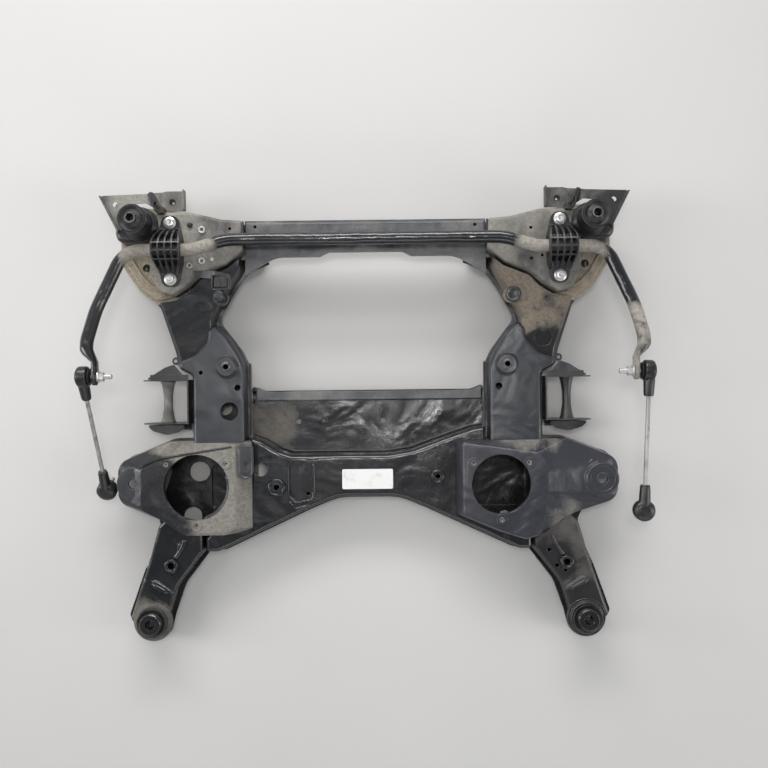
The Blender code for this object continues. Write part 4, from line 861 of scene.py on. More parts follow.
def rear_crossmember_lower():
    top = floor_line(0)
    under = [(y, z - SHEET) for y, z in reversed(top)]
    body = piece("rear_crossmember_lower", bar_stock(top + under, -560, 560))
    keep(body, prism(plate_outline(), -20, 80))
    for side in (1, -1):
        for swage in FLOOR_SWAGES:
            sunk(body, on_side(side, swage), PLATE_TOP, SWAGE_DEPTH)
    ears = [(side * EAR_X, EAR_Y, EAR_HOLE_RADIUS) for side in (1, -1)]
    ears += [(side * (EAR_X + 22), EAR_Y - 9, 13) for side in (1, -1)]
    mounts = [drum(side * REAR_MOUNT_X, REAR_MOUNT_Y, REAR_SLEEVE_RADIUS + 5, 0, 60) for side in (1, -1)]
    gap = prism([(-405, -100, 4), (-434, -120, 4), (-427, -169, 4)], -5, 40)
    spots = SHELF_HOLES + ears + LEFT_FLOOR_HOLES + RIGHT_FLOOR_HOLES
    cut(body, together([drum(x, y, radius, -5, 40) for x, y, radius in spots] + mounts + [gap]))
    x, y, radius = SHELF_HOLES[1]
    add(body, drum(x, y, 8.5, PLATE_TOP - 1, PLATE_TOP + 5, 6))
    cut(body, drum(x, y, radius, -5, 40))


def console_base(side):
    if side > 0:
        inner = [(172, -200, 8, 0), (256, -233, 30, 1), (314, -251, 14, 1), (350, -243, 20, 1)]
        inner.append((414, -201, 30, 1))
        front = [(400, CONSOLE_FRONT_Y - 2, 40, 2), (172, CONSOLE_FRONT_Y - 3, 8, 0)]
    else:
        inner = [(229, -224, 8, 0), (262, -235, 20, 1), (364, -235, 20, 1), (414, -203, 30, 1)]
        front = [(400, CONSOLE_FRONT_Y, 40, 2), (229, CONSOLE_FRONT_Y, 8, 0)]
    return inner + ear_outline(0) + front


def console_crown(side):
    """The raised plate round the engine mount, with a corner for each corner of the base."""
    if side > 0:
        return [
            (190, -196, 8, 0), (258, -226, 28, 1), (312, -243, 12, 1), (338, -235, 16, 1), (352, -196, 20, 1),
            (356, -152, 14, 3), (356, -112, 14, 3), (346, -77, 20, 2), (190, -55, 8, 0),
        ]
    return [
        (262, -218, 10, 0), (284, -228, 16, 1), (362, -228, 18, 1), (408, -197, 20, 1),
        (450, -176, 12, 3), (450, -100, 12, 3), (418, -82, 20, 2), (262, -53, 10, 0),
    ]


def console_levels(side):
    base, crown = console_base(side), console_crown(side)
    return [
        (base, 0, PLATE_TOP + GAP, 0),
        (base, 4, CONSOLE_SHOULDER, 0.6),
        (crown, -3, CONSOLE_TOP - 4, 0.8),
        (crown, 3, CONSOLE_TOP, 1),
    ]


def both(side, levels):
    """The levels of a right-hand pressing, or those of its mirror image."""
    return [(on_side(side, corners), *rest) for corners, *rest in levels]


def engine_opening(side):
    """The middle and the radius of a console's opening for the engine mount."""
    if side > 0:
        return RIGHT_ENGINE_X, RIGHT_ENGINE_Y, RIGHT_ENGINE_RADIUS
    return -LEFT_ENGINE_X, LEFT_ENGINE_Y, LEFT_ENGINE_RADIUS


def lug_points(side):
    x, y, radius = engine_opening(side)
    return arc_points(x, y, radius + LUG_HOLE_RADIUS + 5, LUG_ANGLES)


def engine_console(side, name):
    body = piece(name, tray(both(side, console_levels(side))))
    x, y, radius = engine_opening(side)
    add(body, drum(side * EAR_X, EAR_Y, EAR_RADIUS - 7, CONSOLE_SHOULDER - 3, EAR_TOP, ROUND_SIDES))
    low, high = CONSOLE_SHOULDER - 30, EAR_TOP - SHEET
    cut(body, drum(side * EAR_X, EAR_Y, EAR_RADIUS - 10, low, high, ROUND_SIDES))
    cut(body, drum(x, y, radius, CONSOLE_TOP - 30, CONSOLE_TOP + 20, ENGINE_SIDES))
    holes = [drum(a, b, LUG_HOLE_RADIUS, CONSOLE_TOP - 20, CONSOLE_TOP + 20) for a, b in lug_points(side)]
    holes.append(drum(side * EAR_X, EAR_Y, EAR_HOLE_RADIUS, CONSOLE_SHOULDER - 20, EAR_TOP + 20))
    cut(body, together(holes))
    low, high = PLATE_TOP + 14, CONSOLE_SHOULDER - 8
    mouth = box(EAR_X - 0.35 * EAR_RADIUS, EAR_X + 80, EAR_Y - 27, EAR_Y + 27, low, high)
    cut(body, flipped(side, mouth))
    if side < 0:
        slot = [(-249, -120, 4), (-236, -118, 4), (-236, -62, 4), (-249, -60, 4)]
        cut(body, prism(slot, CONSOLE_SHOULDER - 20, CONSOLE_TOP))


def upper_levels():
    front = [
        (238, -21, 4), (214, -24, 14), (146, -47, 30), (88, -68, 40), (40, -75, 40),
        (-155, -75, 20), (-178, -67, 20), (-212, -47, 20), (-238, -38, 4),
    ]
    right = ARCH + [(331, -271, 8), (331, -240, 4), (238, -140, 4)]
    corners = right + front + mirrored(right)
    return [(corners, 0, PLATE_TOP + GAP, 0)] + rolled_edge(corners, 2, REAR_TOP, 9)


def rear_crossmember_upper():
    body = piece("rear_crossmember_upper", tray(upper_levels()))
    pocket = [(-160, -158, 10), (-146, -172, 8), (-113, -166, 10), (-112, -88, 8), (-160, -88, 10)]
    sunk(body, pocket, REAR_TOP, 7)
    for place, radius, height in zip(REAR_BOSSES, (17, 13), (5, 4)):
        add(body, drum(*place, radius, REAR_TOP - 2, REAR_TOP + height, ROUND_SIDES))
    spots = [(-216, -104, 14.5), (*REAR_BOSSES[0], 6), (*REAR_BOSSES[1], 5), (-121, -155, 4)]
    drill(body, spots, REAR_TOP - 20, REAR_TOP + 20)
    for side in (1, -1):
        cut(body, envelope(both(side, console_levels(side))))


def rear_arm_height(x, y):
    return ARM_TOP + 0.07 * (y - REAR_MOUNT_Y)


def arm_levels():
    corners = arm_outline(0) + [(424, -214, 20), (400, -190, 8), (331, -215, 8)]
    return [(corners, 0, 0.0, 0)] + rolled_edge(corners, 3, rear_arm_height, 7)


def rear_arm(side, name):
    body = piece(name, tray(both(side, arm_levels())))
    x, y = side * REAR_MOUNT_X, REAR_MOUNT_Y
    tube_top = REAR_BUSH_TOP - 14
    add(body, drum(x, y, ARM_BORE + 8, ARM_TOP - 2, ARM_TOP + 6, ROUND_SIDES))
    add(body, drum(x, y, ARM_BORE + 3, ARM_FLOOR_Z + SHEET - 2, tube_top, ROUND_SIDES))
    cut(body, drum(x, y, ARM_BORE, 0, 150, ROUND_SIDES))
    a, b = side * ARM_BOSS[0], ARM_BOSS[1]
    add(body, drum(a, b, 13, ARM_TOP, ARM_TOP + 13, ROUND_SIDES))
    spots = [(a, b, 7), (side * 395, -313, 3.5)]
    if side > 0:
        spots += [(378, -304, 4), (362, -272, 4)]
    drill(body, spots, 0, 150)
    ground = [(LIP_FRONT_Y + 20, -40)] + floor_line(GAP) + [(REAR_MOUNT_Y - 80, -40)]
    cut(body, bar_stock(ground, -600, 600))
    cut(body, envelope(both(side, console_levels(side))))
    cut(body, envelope(upper_levels()))


def rear_bush(side, word):
    x, y = side * REAR_MOUNT_X, REAR_MOUNT_Y
    inner, outer = REAR_SLEEVE_RADIUS + GAP, ARM_BORE - GAP
    low, seat = ARM_FLOOR_Z + SHEET + GAP, REAR_BUSH_TOP - 14 + GAP
    profile = [
        (inner, low), (outer, low), (outer, seat), (outer + 4, seat), (outer + 3, seat + 4),
        (outer - 5, seat + 1), (inner, seat + 6),
    ]
    piece(f"rear_bush_rubber_{word}", ring_at(x, y, profile))
    bore, sleeve, head = REAR_SLEEVE_BORE, REAR_SLEEVE_RADIUS, REAR_SLEEVE_RADIUS + 9
    under = REAR_BUSH_TOP - 6
    profile = [
        (bore, low), (sleeve, low), (sleeve, under), (head, under), (head, REAR_BUSH_TOP - 2),
        (head - 2, REAR_BUSH_TOP), (bore, REAR_BUSH_TOP),
    ]
    piece(f"rear_bush_sleeve_{word}", ring_at(x, y, profile))


# Side members: a lower pan, an upper shell and the front cover between the shell and the gusset

def neck_inner(margin):
    """The inner edge from the beam's fillet down past the waist, spread by margin towards the middle."""
    x, y = NECK_INNER_X - margin, NECK_INNER_Y
    inner = MEMBER_INNER_X - margin
    return [
        (x - 60, y + 103, 44), (x - 34, y + 66, 60), (x - 5, y + 16, 40), (x + 1, y - 3, 10),
        (x - 26, y - 38, 60), (inner + 11, y - 68, 50), (inner, y - 92, 30),
    ]


def member_levels():
    rear = MEMBER_REAR_Y + MEMBER_FLANGE + 11
    wall = ARM_BRACKET_WALL_X - MEMBER_FLANGE
    outer = [
        (wall, rear, 8), (wall, ARM_BRACKET_FRONT_Y + 18, 8), (MEMBER_OUTER_X - 7, 108, 14),
        (MEMBER_OUTER_X - 2, 135, 40),
        (MEMBER_OUTER_X + 11, 175, 60), (NECK_OUTER_X - 7, NECK_OUTER_Y - 2, 14), (446, 268, 24),
        (440, 310, 20), (400, 336, 20), (212, 336, 10), (206, 316, 6),
    ]
    corners = [(MEMBER_INNER_X + MEMBER_FLANGE, rear, 8)] + outer + neck_inner(-MEMBER_FLANGE)
    return [(corners, 0, SEAM_Z, 0)] + rolled_edge(corners, 4, 0.0, 8, rise=-1)


def side_member_lower(side, name):
    body = piece(name, tray(both(side, member_levels()), flange=MEMBER_FLANGE))
    spots = [(side * RACK_MOUNT_X, RACK_MOUNT_Y, 8), (side * 300, 20, 17), (side * 350, 230, 20)]
    drill(body, spots, -5, 20)
    add(body, drum(side * (MEMBER_OUTER_X + 5), 116, 8, SEAM_Z - SHEET, SEAM_Z))
    cut(body, drum(side * (MEMBER_OUTER_X + 6), 116, 3.5, SEAM_Z - 20, SEAM_Z + 20))


def shell_levels():
    inner = MEMBER_INNER_X + 4
    corners = [
        (inner, -70, 6), (ARM_BRACKET_WALL_X - 6, -70, 6), (ARM_BRACKET_WALL_X - 6, 84, 8),
        (MEMBER_OUTER_X - 8, 98, 10), (MEMBER_OUTER_X - 8, 115, 10), (346, 128, 24), (321, 156, 20),
        (319, 178, 8), (NECK_INNER_X + 4, NECK_INNER_Y - 7, 8), (NECK_INNER_X - 24, NECK_INNER_Y - 36, 60),
        (inner + 10, NECK_INNER_Y - 69, 50), (inner, NECK_INNER_Y - 92, 30),
    ]
    return [(corners, 0, SEAM_Z + GAP, 0)] + rolled_edge(corners, 2, MEMBER_TOP, 7)


def side_member_upper(side, name):
    body = piece(name, tray(both(side, shell_levels())))
    low, high = MEMBER_TOP - 20, MEMBER_TOP + 20
    boss = drum(side * RACK_MOUNT_X, RACK_MOUNT_Y, 12 + GAP, low, high, ROUND_SIDES)
    spots = [(264, 58, 7)] if side > 0 else [(-332, 91, 4), (-259, 60, 6.5), (-276, 13, 18.5)]
    cut(body, together([boss] + [drum(x, y, radius, low, high) for x, y, radius in spots]))
    cut(body, envelope(both(side, console_levels(side))))


def rack_boss(side, word):
    x, y = side * RACK_MOUNT_X, RACK_MOUNT_Y
    seat = MEMBER_TOP + GAP
    profile = [
        (6.2, SHEET + GAP), (12, SHEET + GAP), (12, seat), (21.5, seat), (21.5, seat + 8),
        (17.5, seat + 12), (6.2, seat + 12),
    ]
    piece(f"rack_mount_{word}", ring_at(x, y, profile))


def cover_height(x, y):
    return 68 + 0.2 * (y - 130)


def cover_levels():
    corners = [
        (330, 92, 8), (MEMBER_OUTER_X - 6, 104, 14), (MEMBER_OUTER_X - 2, 135, 40),
        (MEMBER_OUTER_X + 11, 175, 60),
        (NECK_OUTER_X - 8, NECK_OUTER_Y - 2, 14), (436, 262, 20), (430, 330, 10), (245, 330, 10),
    ] + neck_inner(-MEMBER_FLANGE)[:4] + [(NECK_INNER_X + 4, 150, 8)]
    return [(corners, 0, SEAM_Z + GAP, 0)] + rolled_edge(corners, 3, cover_height, 7)


def front_cover(side, name):
    body = piece(name, tray(both(side, cover_levels())))
    x, y = side * COVER_BOSS[0], COVER_BOSS[1]
    high = cover_height(x, y)
    add(body, drum(x, y, 15, high - 3, high + 9, ROUND_SIDES))
    cut(body, drum(x, y, 6, high - 20, high + 20))
    if side > 0:
        dish = [(337, 138, 16), (372, 138, 16), (374, 172, 16), (338, 172, 16)]
        sunk(body, dish, cover_height, 6)
    cut(body, envelope(both(side, gusset_pan_levels()), flange=GUSSET_FLANGE))
    for levels in (gusset_box_levels(), shell_levels()):
        cut(body, envelope(both(side, levels)))
    cut(body, prism(whole(BEAM_EDGE), 0, 150, inset=-GAP))


# Front gusset boxes, the beam between them and the towers on their outer ends

def gusset_pan_levels():
    outer, front = GUSSET_OUTER_X, GUSSET_FRONT_Y
    corners = [
        (BEAM_END_X + 0.3, 389, 6), (BEAM_END_X + 0.3, 322, 6), (272, 297, 20), (325, 277, 20),
        (345, 256, 20), (378, 236, 14), (421, 229, 10), (457, 257, 60), (outer, 312, 20),
        (outer, front + 16, 12), (470, front + 22, 8), (345, front + 6, 30),
    ]
    wall = GUSSET_FLANGE
    return [(corners, wall, GUSSET_SEAM_Z, 0)] + rolled_edge(corners, wall + 3, SEAM_Z + GAP, 9, rise=-1)


def gusset_pan(side, name):
    body = piece(name, tray(both(side, gusset_pan_levels()), flange=GUSSET_FLANGE))
    x, y, radius = GUSSET_DRAIN
    holes = [drum(side * x, y, radius, GUSSET_SEAM_Z - 40, GUSSET_SEAM_Z + 20)]
    holes += [drum(side * CLAMP_X, 300, 24, SEAM_Z - 10, SEAM_Z + 10)]
    holes += [drum(side * FRONT_MOUNT_X, FRONT_MOUNT_Y, 18, SEAM_Z - 10, SEAM_Z + 12)]
    cut(body, together(holes))


def gusset_box_levels():
    front, inner, outer = GUSSET_FRONT_Y, BEAM_END_X, TOWER_INNER_X - 2 * GAP
    corners = [
        (inner, 389, 8), (inner, 330, 8), (274, 303, 16), (323, 284, 16), (349, 262, 16), (379, 243, 12),
        (408, 251, 12), (outer, 288, 30), (outer, front - 1, 8), (345, front + 1, 30), (282, front - 14, 20),
    ]
    return [(corners, 0, GUSSET_SEAM_Z + GAP, 0)] + rolled_edge(corners, 0.5, GUSSET_TOP, 7)


def clamp_bolt_points():
    half = CLAMP_BOLT_PITCH / 2
    return [(CLAMP_X, BAR_AXIS_Y + half), (CLAMP_X, BAR_AXIS_Y - half)]


def gusset_box(side, name):
    body = piece(name, tray(both(side, gusset_box_levels())))
    spots = [(side * x, y, BOLT_RADIUS + 1) for x, y in clamp_bolt_points()]
    spots += [(325, 368, 3), (347, 314, 3), (326, 308, 3)] if side > 0 else [(-265, 372, 3)]
    drill(body, spots, GUSSET_TOP - 20, GUSSET_TOP + 10)
    cut(body, drum(side * FRONT_MOUNT_X, FRONT_MOUNT_Y, TOWER_RADIUS + GAP, 0, 200, ROUND_SIDES))


BEAM_EDGE = [
    (BEAM_NOTCH_X - 9, BEAM_REAR_Y + BEAM_NOTCH_DEPTH, 10, 1), (BEAM_NOTCH_X + 9, BEAM_REAR_Y, 10, 1),
    (180, BEAM_REAR_Y, 60, 1), (BEAM_END_X - 0.3, 282, 0, 0), (BEAM_END_X - 0.3, BEAM_FRONT_Y, 0, 0),
]


def beam_wall(inset):
    rear, front = BEAM_HAT_REAR_Y + inset, BEAM_FRONT_Y - BEAM_FLANGE - inset
    end = BEAM_END_X - 2 - inset
    return whole([
        (BEAM_NOTCH_X - 9, rear, 10, 1), (BEAM_NOTCH_X + 9, rear - 3, 10, 1), (180, rear - 3, 60, 1),
        (end, rear - 8, 0, 0), (end, front, 0, 0),
    ])


def crossmember_upper():
    wall = beam_wall(0)
    levels = [(wall, 0, BEAM_SEAM_Z + GAP, 0)] + rolled_edge(wall, 1.5, BEAM_TOP, 6)
    body = piece("front_crossmember_upper", tray(levels, rim=whole(BEAM_EDGE)))
    drill(body, [(216, 376, 3), (-216, 376, 3)], BEAM_TOP - 15, BEAM_TOP + 10)


def crossmember_lower():
    edge = whole(BEAM_EDGE)
    levels = [(edge, BEAM_FLANGE, BEAM_SEAM_Z, 0)]
    levels += rolled_edge(edge, BEAM_FLANGE + 4, BEAM_FLOOR, 8, rise=-1)
    body = piece("front_crossmember_lower", tray(levels, flange=BEAM_FLANGE))
    drill(body, [(-120, 352, 14), (0, 352, 14), (120, 352, 14)], BEAM_FLOOR - 10, BEAM_FLOOR + 12)


def tower_levels():
    corners = [
        (TOWER_INNER_X, TOWER_REAR_Y, 12), (TOWER_OUTER_X, TOWER_REAR_Y, 22),
        (TOWER_OUTER_X, TOWER_FRONT_Y, 18), (TOWER_INNER_X, TOWER_FRONT_Y, 12),
    ]
    return [(corners, 0, GUSSET_SEAM_Z + GAP, 0)] + rolled_edge(corners, 3, TOWER_SHOULDER_Z, 10)


def tower(side, name):
    body = piece(name, tray(both(side, tower_levels())))
    x, y = side * FRONT_MOUNT_X, FRONT_MOUNT_Y
    radius, shoulder, top = TOWER_RADIUS, TOWER_SHOULDER_Z, TOWER_TOP
    tube = [(radius, GUSSET_SEAM_Z + 5), (radius, top - 8), (radius + 1.5, top - 6), (radius + 1.5, top)]
    root = [(radius + 7, shoulder - 6), (radius + 7, shoulder + 3), (radius - 1, shoulder + 12)]
    for profile in (tube, root):
        add(body, moved(turned(profile), at(x, y, 0)))
    cut(body, drum(x, y, TOWER_BORE, GUSSET_SEAM_Z - 5, TOWER_TOP + 20, ROUND_SIDES))


def front_bush(side, word):
    x, y = side * FRONT_MOUNT_X, FRONT_MOUNT_Y
    inner, outer, top = FRONT_SLEEVE_RADIUS + GAP, TOWER_BORE - GAP, TOWER_TOP + GAP
    profile = [
        (inner, 100), (outer, 100), (outer, top), (outer + 2.5, top), (outer + 2, top + 3),
        (outer - 5, top - 1), (inner, top + 4),
    ]
    piece(f"front_bush_rubber_{word}", ring_at(x, y, profile))
    bore, sleeve, high = FRONT_SLEEVE_BORE, FRONT_SLEEVE_RADIUS, FRONT_SLEEVE_TOP
    profile = [(bore, 92), (sleeve, 92), (sleeve, high - 1), (sleeve - 1, high), (bore, high)]
    piece(f"front_bush_sleeve_{word}", ring_at(x, y, profile))


def front_bracket(side, name):
    tab, inner, ledge = BRACKET_TAB_Z, BRACKET_TAB_INNER_X, TOWER_SHOULDER_Z + GAP
    section = [
        (inner, tab + 20), (inner, tab), (402, tab), (425, ledge), (540, ledge), (540, ledge + SHEET),
        (423.6, ledge + SHEET), (400.6, tab + SHEET), (inner + SHEET, tab + SHEET), (inner + SHEET, tab + 20),
    ]
    body = piece(name, flipped(side, bar_stock(section, 330, 470, "y")))
    rear = GUSSET_FRONT_Y + 4.5
    plan = [
        (inner - 2, rear, 2), (405, rear, 6), (426, 422, 5), (462, 419, 10), (477, 361, 4),
        (BRACKET_TIP_X, BRACKET_TIP_Y, 4), (424, BRACKET_TIP_Y + 3, 20), (404, BRACKET_TAB_FRONT_Y - 3, 8),
        (392, BRACKET_TAB_FRONT_Y, 8), (inner - 2, BRACKET_TAB_FRONT_Y, 3),
    ]
    keep(body, prism(on_side(side, plan), 0, 200))
    x, y = BRACKET_TIP_X, BRACKET_TIP_Y
    lip = [(478, 363), (x - 1, y - 3), (x - 4, y - 2), (477, 370)]
    add(body, flipped(side, loft([level(lip, ledge + 1), level(lip, ledge + 14)])))
    drill(body, [(side * 486, 420, 5), (side * 380, 428, 6.5)], 60, 200)


# Front control-arm bracket: a folded channel with a waisted distance tube welded between its cheeks

def arm_bracket(side, name):
    wall, outer = ARM_BRACKET_WALL_X + GAP, ARM_BRACKET_OUTER_X
    front, rear = ARM_BRACKET_FRONT_Y, ARM_BRACKET_REAR_Y
    channel = [
        (wall, rear - SHEET), (outer, rear - SHEET), (outer, rear), (wall + SHEET, rear),
        (wall + SHEET, front), (outer, front), (outer, front + SHEET), (wall, front + SHEET),
    ]
    low, high = ARM_BRACKET_PIN_Z - 38, ARM_BRACKET_PIN_Z + 28
    body = piece(name, flipped(side, loft([level(channel, low), level(channel, high)])))
    cheek = [
        (wall - 5, low, 0), (outer - 30, low, 20), (outer + 1, ARM_BRACKET_PIN_Z - 12, 22),
        (outer + 1, high, 14), (wall - 5, high, 0),
    ]
    keep(body, flipped(side, moved_to_y(prism(cheek, -150, 150))))
    length = front - rear
    half = [(15, -1), (12, 8), (8.5, length * 0.35)]
    waist = half + [(radius, length - along) for radius, along in reversed(half)]
    solids = [
        box(wall, outer - 16, front, front + 13, high - SHEET, high),
        box(wall + 8, outer - 30, rear - 16, rear, low, low + SHEET),
        moved(turned(waist, SMALL_SIDES), at(ARM_BRACKET_PIN_X, rear, ARM_BRACKET_PIN_Z) @ TO_Y),
        moved(drum(0, 0, 9, 0, 16, 6), at(ARM_BRACKET_PIN_X, rear - 16, ARM_BRACKET_PIN_Z) @ TO_Y),
    ]
    for solid in solids:
        add(body, flipped(side, solid))


def moved_to_y(solid):
    """A prism drawn in (x, z) plan, laid so that it runs along Y."""
    points, faces = solid
    return [(x, z, y) for x, y, z in points], faces


# Anti-roll bar, its bushes and its ribbed clamps

def rounded_path(corners, step):
    """A line through (x, y, z, bend radius) corners, with arcs at the bends and no long empty stretch."""
    points = [Vector(corners[0][:3])]
    for before, corner, after in zip(corners, corners[1:], corners[2:]):
        here = Vector(corner[:3])
        into = (here - Vector(before[:3])).normalized()
        out = (Vector(after[:3]) - here).normalized()
        turn = into.angle(out)
        reach = corner[3] * math.tan(turn / 2)
        start, end = here - into * reach, here + out * reach
        centre = start + (out - into * into.dot(out)).normalized() * corner[3]
        count = max(1, round(turn / step))
        axis = into.cross(out)
        for k in range(count + 1):
            spin = Matrix.Rotation(turn * k / count, 3, axis)
            points.append(centre + spin @ (start - centre))
        points[-1] = end
    points.append(Vector(corners[-1][:3]))
    return points


def bar_corners():
    """The right half of the bar's centre line, from its middle to the start of its flattened eye."""
    straight = CLAMP_X + BUSH_LENGTH / 2
    return [
        (0, BAR_MIDDLE_Y, BAR_AXIS_Z, 0), (CLAMP_X - 112, BAR_MIDDLE_Y, BAR_AXIS_Z, 120),
        (straight - BUSH_LENGTH - 20, BAR_AXIS_Y, BAR_AXIS_Z, 60),
        (straight + 60, BAR_AXIS_Y, BAR_AXIS_Z, 48),
        (EYE_X + 6, EYE_Y + 126, EYE_Z - 26, 150), (EYE_X + 17, EYE_Y + 66, EYE_Z - 6, 60),
        (EYE_X + 15, EYE_Y + 50, EYE_Z, 0),
    ]


def anti_roll_bar():
    """The round bar swept along its line, its ends forged flat into eyes for the link studs."""
    half = rounded_path(bar_corners(), BAR_STEP)
    rings = []
    flat = EYE_THICKNESS / 2 / BAR_RADIUS
    forged = [
        (42, 11, 0.95, 1.0), (34, 5, 0.7, 1.1), (27, 0, flat, 1.2), (0, 0, flat, 1.3),
        (-10, 0, flat, 1.0), (-EYE_RADIUS, 0, flat * 0.8, 0.4),
    ]
    for index, centre in enumerate(half):
        ahead = half[min(index + 1, len(half) - 1)] - half[max(index - 1, 0)]
        if index == 0:
            ahead = Vector((1, 0, 0))
        rings.append(ring_across(centre, ahead.normalized(), BAR_RADIUS, BAR_RADIUS, BAR_SIDES))
    for ahead, out, thin, wide in forged:
        centre = Vector((EYE_X + out, EYE_Y + ahead, EYE_Z))
        rings.append(ring_across(centre, Vector((0, -1, 0)), BAR_RADIUS * thin, BAR_RADIUS * wide, BAR_SIDES))
    left = [[Vector((-p.x, p.y, p.z)) for p in ring] for ring in reversed(rings[1:])]
    body = piece("anti_roll_bar", loft(left + rings))
    for side in (1, -1):
        cut(body, moved(drum(0, 0, STUD_RADIUS + GAP, -20, 20), at(side * EYE_X, EYE_Y, EYE_Z) @ TO_X))


def ring_across(centre, ahead, thin, wide, sides):
    """A round or flattened section across the line, starting from the same upright direction everywhere."""
    up = (Vector((0, 0, 1)) - ahead * ahead.z).normalized()
    across = up.cross(ahead)
    turns = [2 * math.pi * (i + 0.5) / sides for i in range(sides)]
    return [centre + across * (thin * math.cos(a)) + up * (wide * math.sin(a)) for a in turns]


CLAMP_SEAT = GUSSET_TOP + GAP
CLAMP_FLOOR = 5.0


def arched(radius, foot, steps=6):
    """A half round of the radius over the bar, standing on straight legs down to foot: (y, z) points."""
    arc = [math.pi * i / steps for i in range(steps + 1)]
    top = [(BAR_AXIS_Y + radius * math.cos(a), BAR_AXIS_Z + radius * math.sin(a)) for a in arc]
    return [(BAR_AXIS_Y + radius, foot)] + top + [(BAR_AXIS_Y - radius, foot)]


def bar_bush(side, word):
    """A rubber block round the bar, flat on the gusset and round under the clamp."""
    x = side * CLAMP_X
    block = arched(BAR_RADIUS + BUSH_WALL, CLAMP_SEAT)
    body = piece(f"bar_bush_{word}", bar_stock(block, x - BUSH_LENGTH / 2, x + BUSH_LENGTH / 2))
    turning = (BAR_RADIUS + GAP) / math.cos(math.pi / ROUND_SIDES)
    cut(body, moved(drum(0, 0, turning, -60, 60, ROUND_SIDES), at(x, BAR_AXIS_Y, BAR_AXIS_Z) @ TO_X))


def clamp_skin(y):
    """Height of the clamp's skin under its ribs, at a distance y from the bar's axis."""
    radius = BAR_RADIUS + BUSH_WALL + GAP + CLAMP_SKIN
    if abs(y) >= radius:
        return CLAMP_SEAT + CLAMP_FLOOR
    return max(BAR_AXIS_Z + math.sqrt(radius**2 - y**2), CLAMP_SEAT + CLAMP_FLOOR)


def clamp_cell(x, y, away, rib, wide, narrow, half):
    """One cross-section of a pocket between two ribs, which draw together towards the bolts."""
    share = max(0.0, abs(away) - 12) / (half - 12)
    reach = wide + (narrow - wide) * share**1.6
    pitch = (2 * reach - CLAMP_RIB) / (CLAMP_RIB_COUNT - 1)
    low = x - reach + CLAMP_RIB + rib * pitch
    high = low + pitch - CLAMP_RIB
    floor, roof = clamp_skin(away), BAR_AXIS_Z + 60
    return [(low, y + away, floor), (high, y + away, floor), (high, y + away, roof), (low, y + away, roof)]


def bar_clamp(side, word):
    """The moulded clamp: an arch of ribs along and across over a thin skin, with two bolt feet."""
    x, y, half = side * CLAMP_X, BAR_AXIS_Y, CLAMP_BOLT_PITCH / 2
    crest = BAR_RADIUS + BUSH_WALL + CLAMP_ARCH_HEIGHT
    seat, foot_top = CLAMP_SEAT, CLAMP_SEAT + CLAMP_BOLT_FOOT
    end = half + BOLT_FLANGE_RADIUS + 2
    flank = half - BOLT_FLANGE_RADIUS + 1
    crown = arc_points(y, BAR_AXIS_Z, crest, (25, 50, 75, 105, 130, 155))
    section = [(y - end, seat), (y + end, seat), (y + end, foot_top), (y + flank, foot_top)]
    section += crown + [(y - flank, foot_top), (y - end, foot_top)]
    wide, narrow = CLAMP_WIDTH / 2, BOLT_FLANGE_RADIUS + 3
    body = piece(f"bar_clamp_{word}", bar_stock(section, x - wide, x + wide))
    plan = [
        (x - narrow, y - end, narrow - 1), (x + narrow, y - end, narrow - 1), (x + wide, y - 12, 55),
        (x + wide, y + 12, 55), (x + narrow, y + end, narrow - 1), (x - narrow, y + end, narrow - 1),
        (x - wide, y + 12, 55), (x - wide, y - 12, 55),
    ]
    keep(body, prism(plan, seat - 20, BAR_AXIS_Z + crest + 20))
    tunnel = arched(BAR_RADIUS + BUSH_WALL + GAP, seat - 10)
    cut(body, bar_stock(tunnel, x - wide - 5, x + wide + 5))
    cells = []
    for rib in range(CLAMP_RIB_COUNT - 1):
        for start, stop in ((-flank + 1, -22), (-19.5, -6), (-3.5, 10), (12.5, flank - 1)):
            stations = [start + (stop - start) * k / 4 for k in range(5)]
            cells.append(loft([clamp_cell(x, y, s, rib, wide, narrow, half) for s in reversed(stations)]))
    cut(body, together(cells))
    radius = BOLT_RADIUS + 0.6
    drill(body, [(x, y + half, radius), (x, y - half, radius)], seat - 10, foot_top + 20)


def clamp_bolt(side, y, name):
    """A flange bolt: washer face, dished hexagon head and the shank through clamp and gusset."""
    seat = CLAMP_SEAT + CLAMP_BOLT_FOOT + GAP
    x = side * CLAMP_X
    radius, across = BOLT_FLANGE_RADIUS, BOLT_HEAD_FLATS / math.sqrt(3)
    flange = [(radius, seat), (radius, seat + 1.5), (radius - 4, seat + 3.5)]
    body = piece(name, moved(turned(flange), at(x, y, 0)))
    add(body, hex_crown(x, y, [(across, seat + 2), (across, seat + 9), (across - 2, seat + 10)]))
    add(body, drum(x, y, BOLT_RADIUS, GUSSET_TOP - 18, seat + 2.5))


def hex_crown(x, y, rings, sides=6):
    """A solid through (radius, height) rings at one point of the plan, six-sided unless stated."""
    return loft([level(circle(x, y, radius, sides), height) for radius, height in rings])


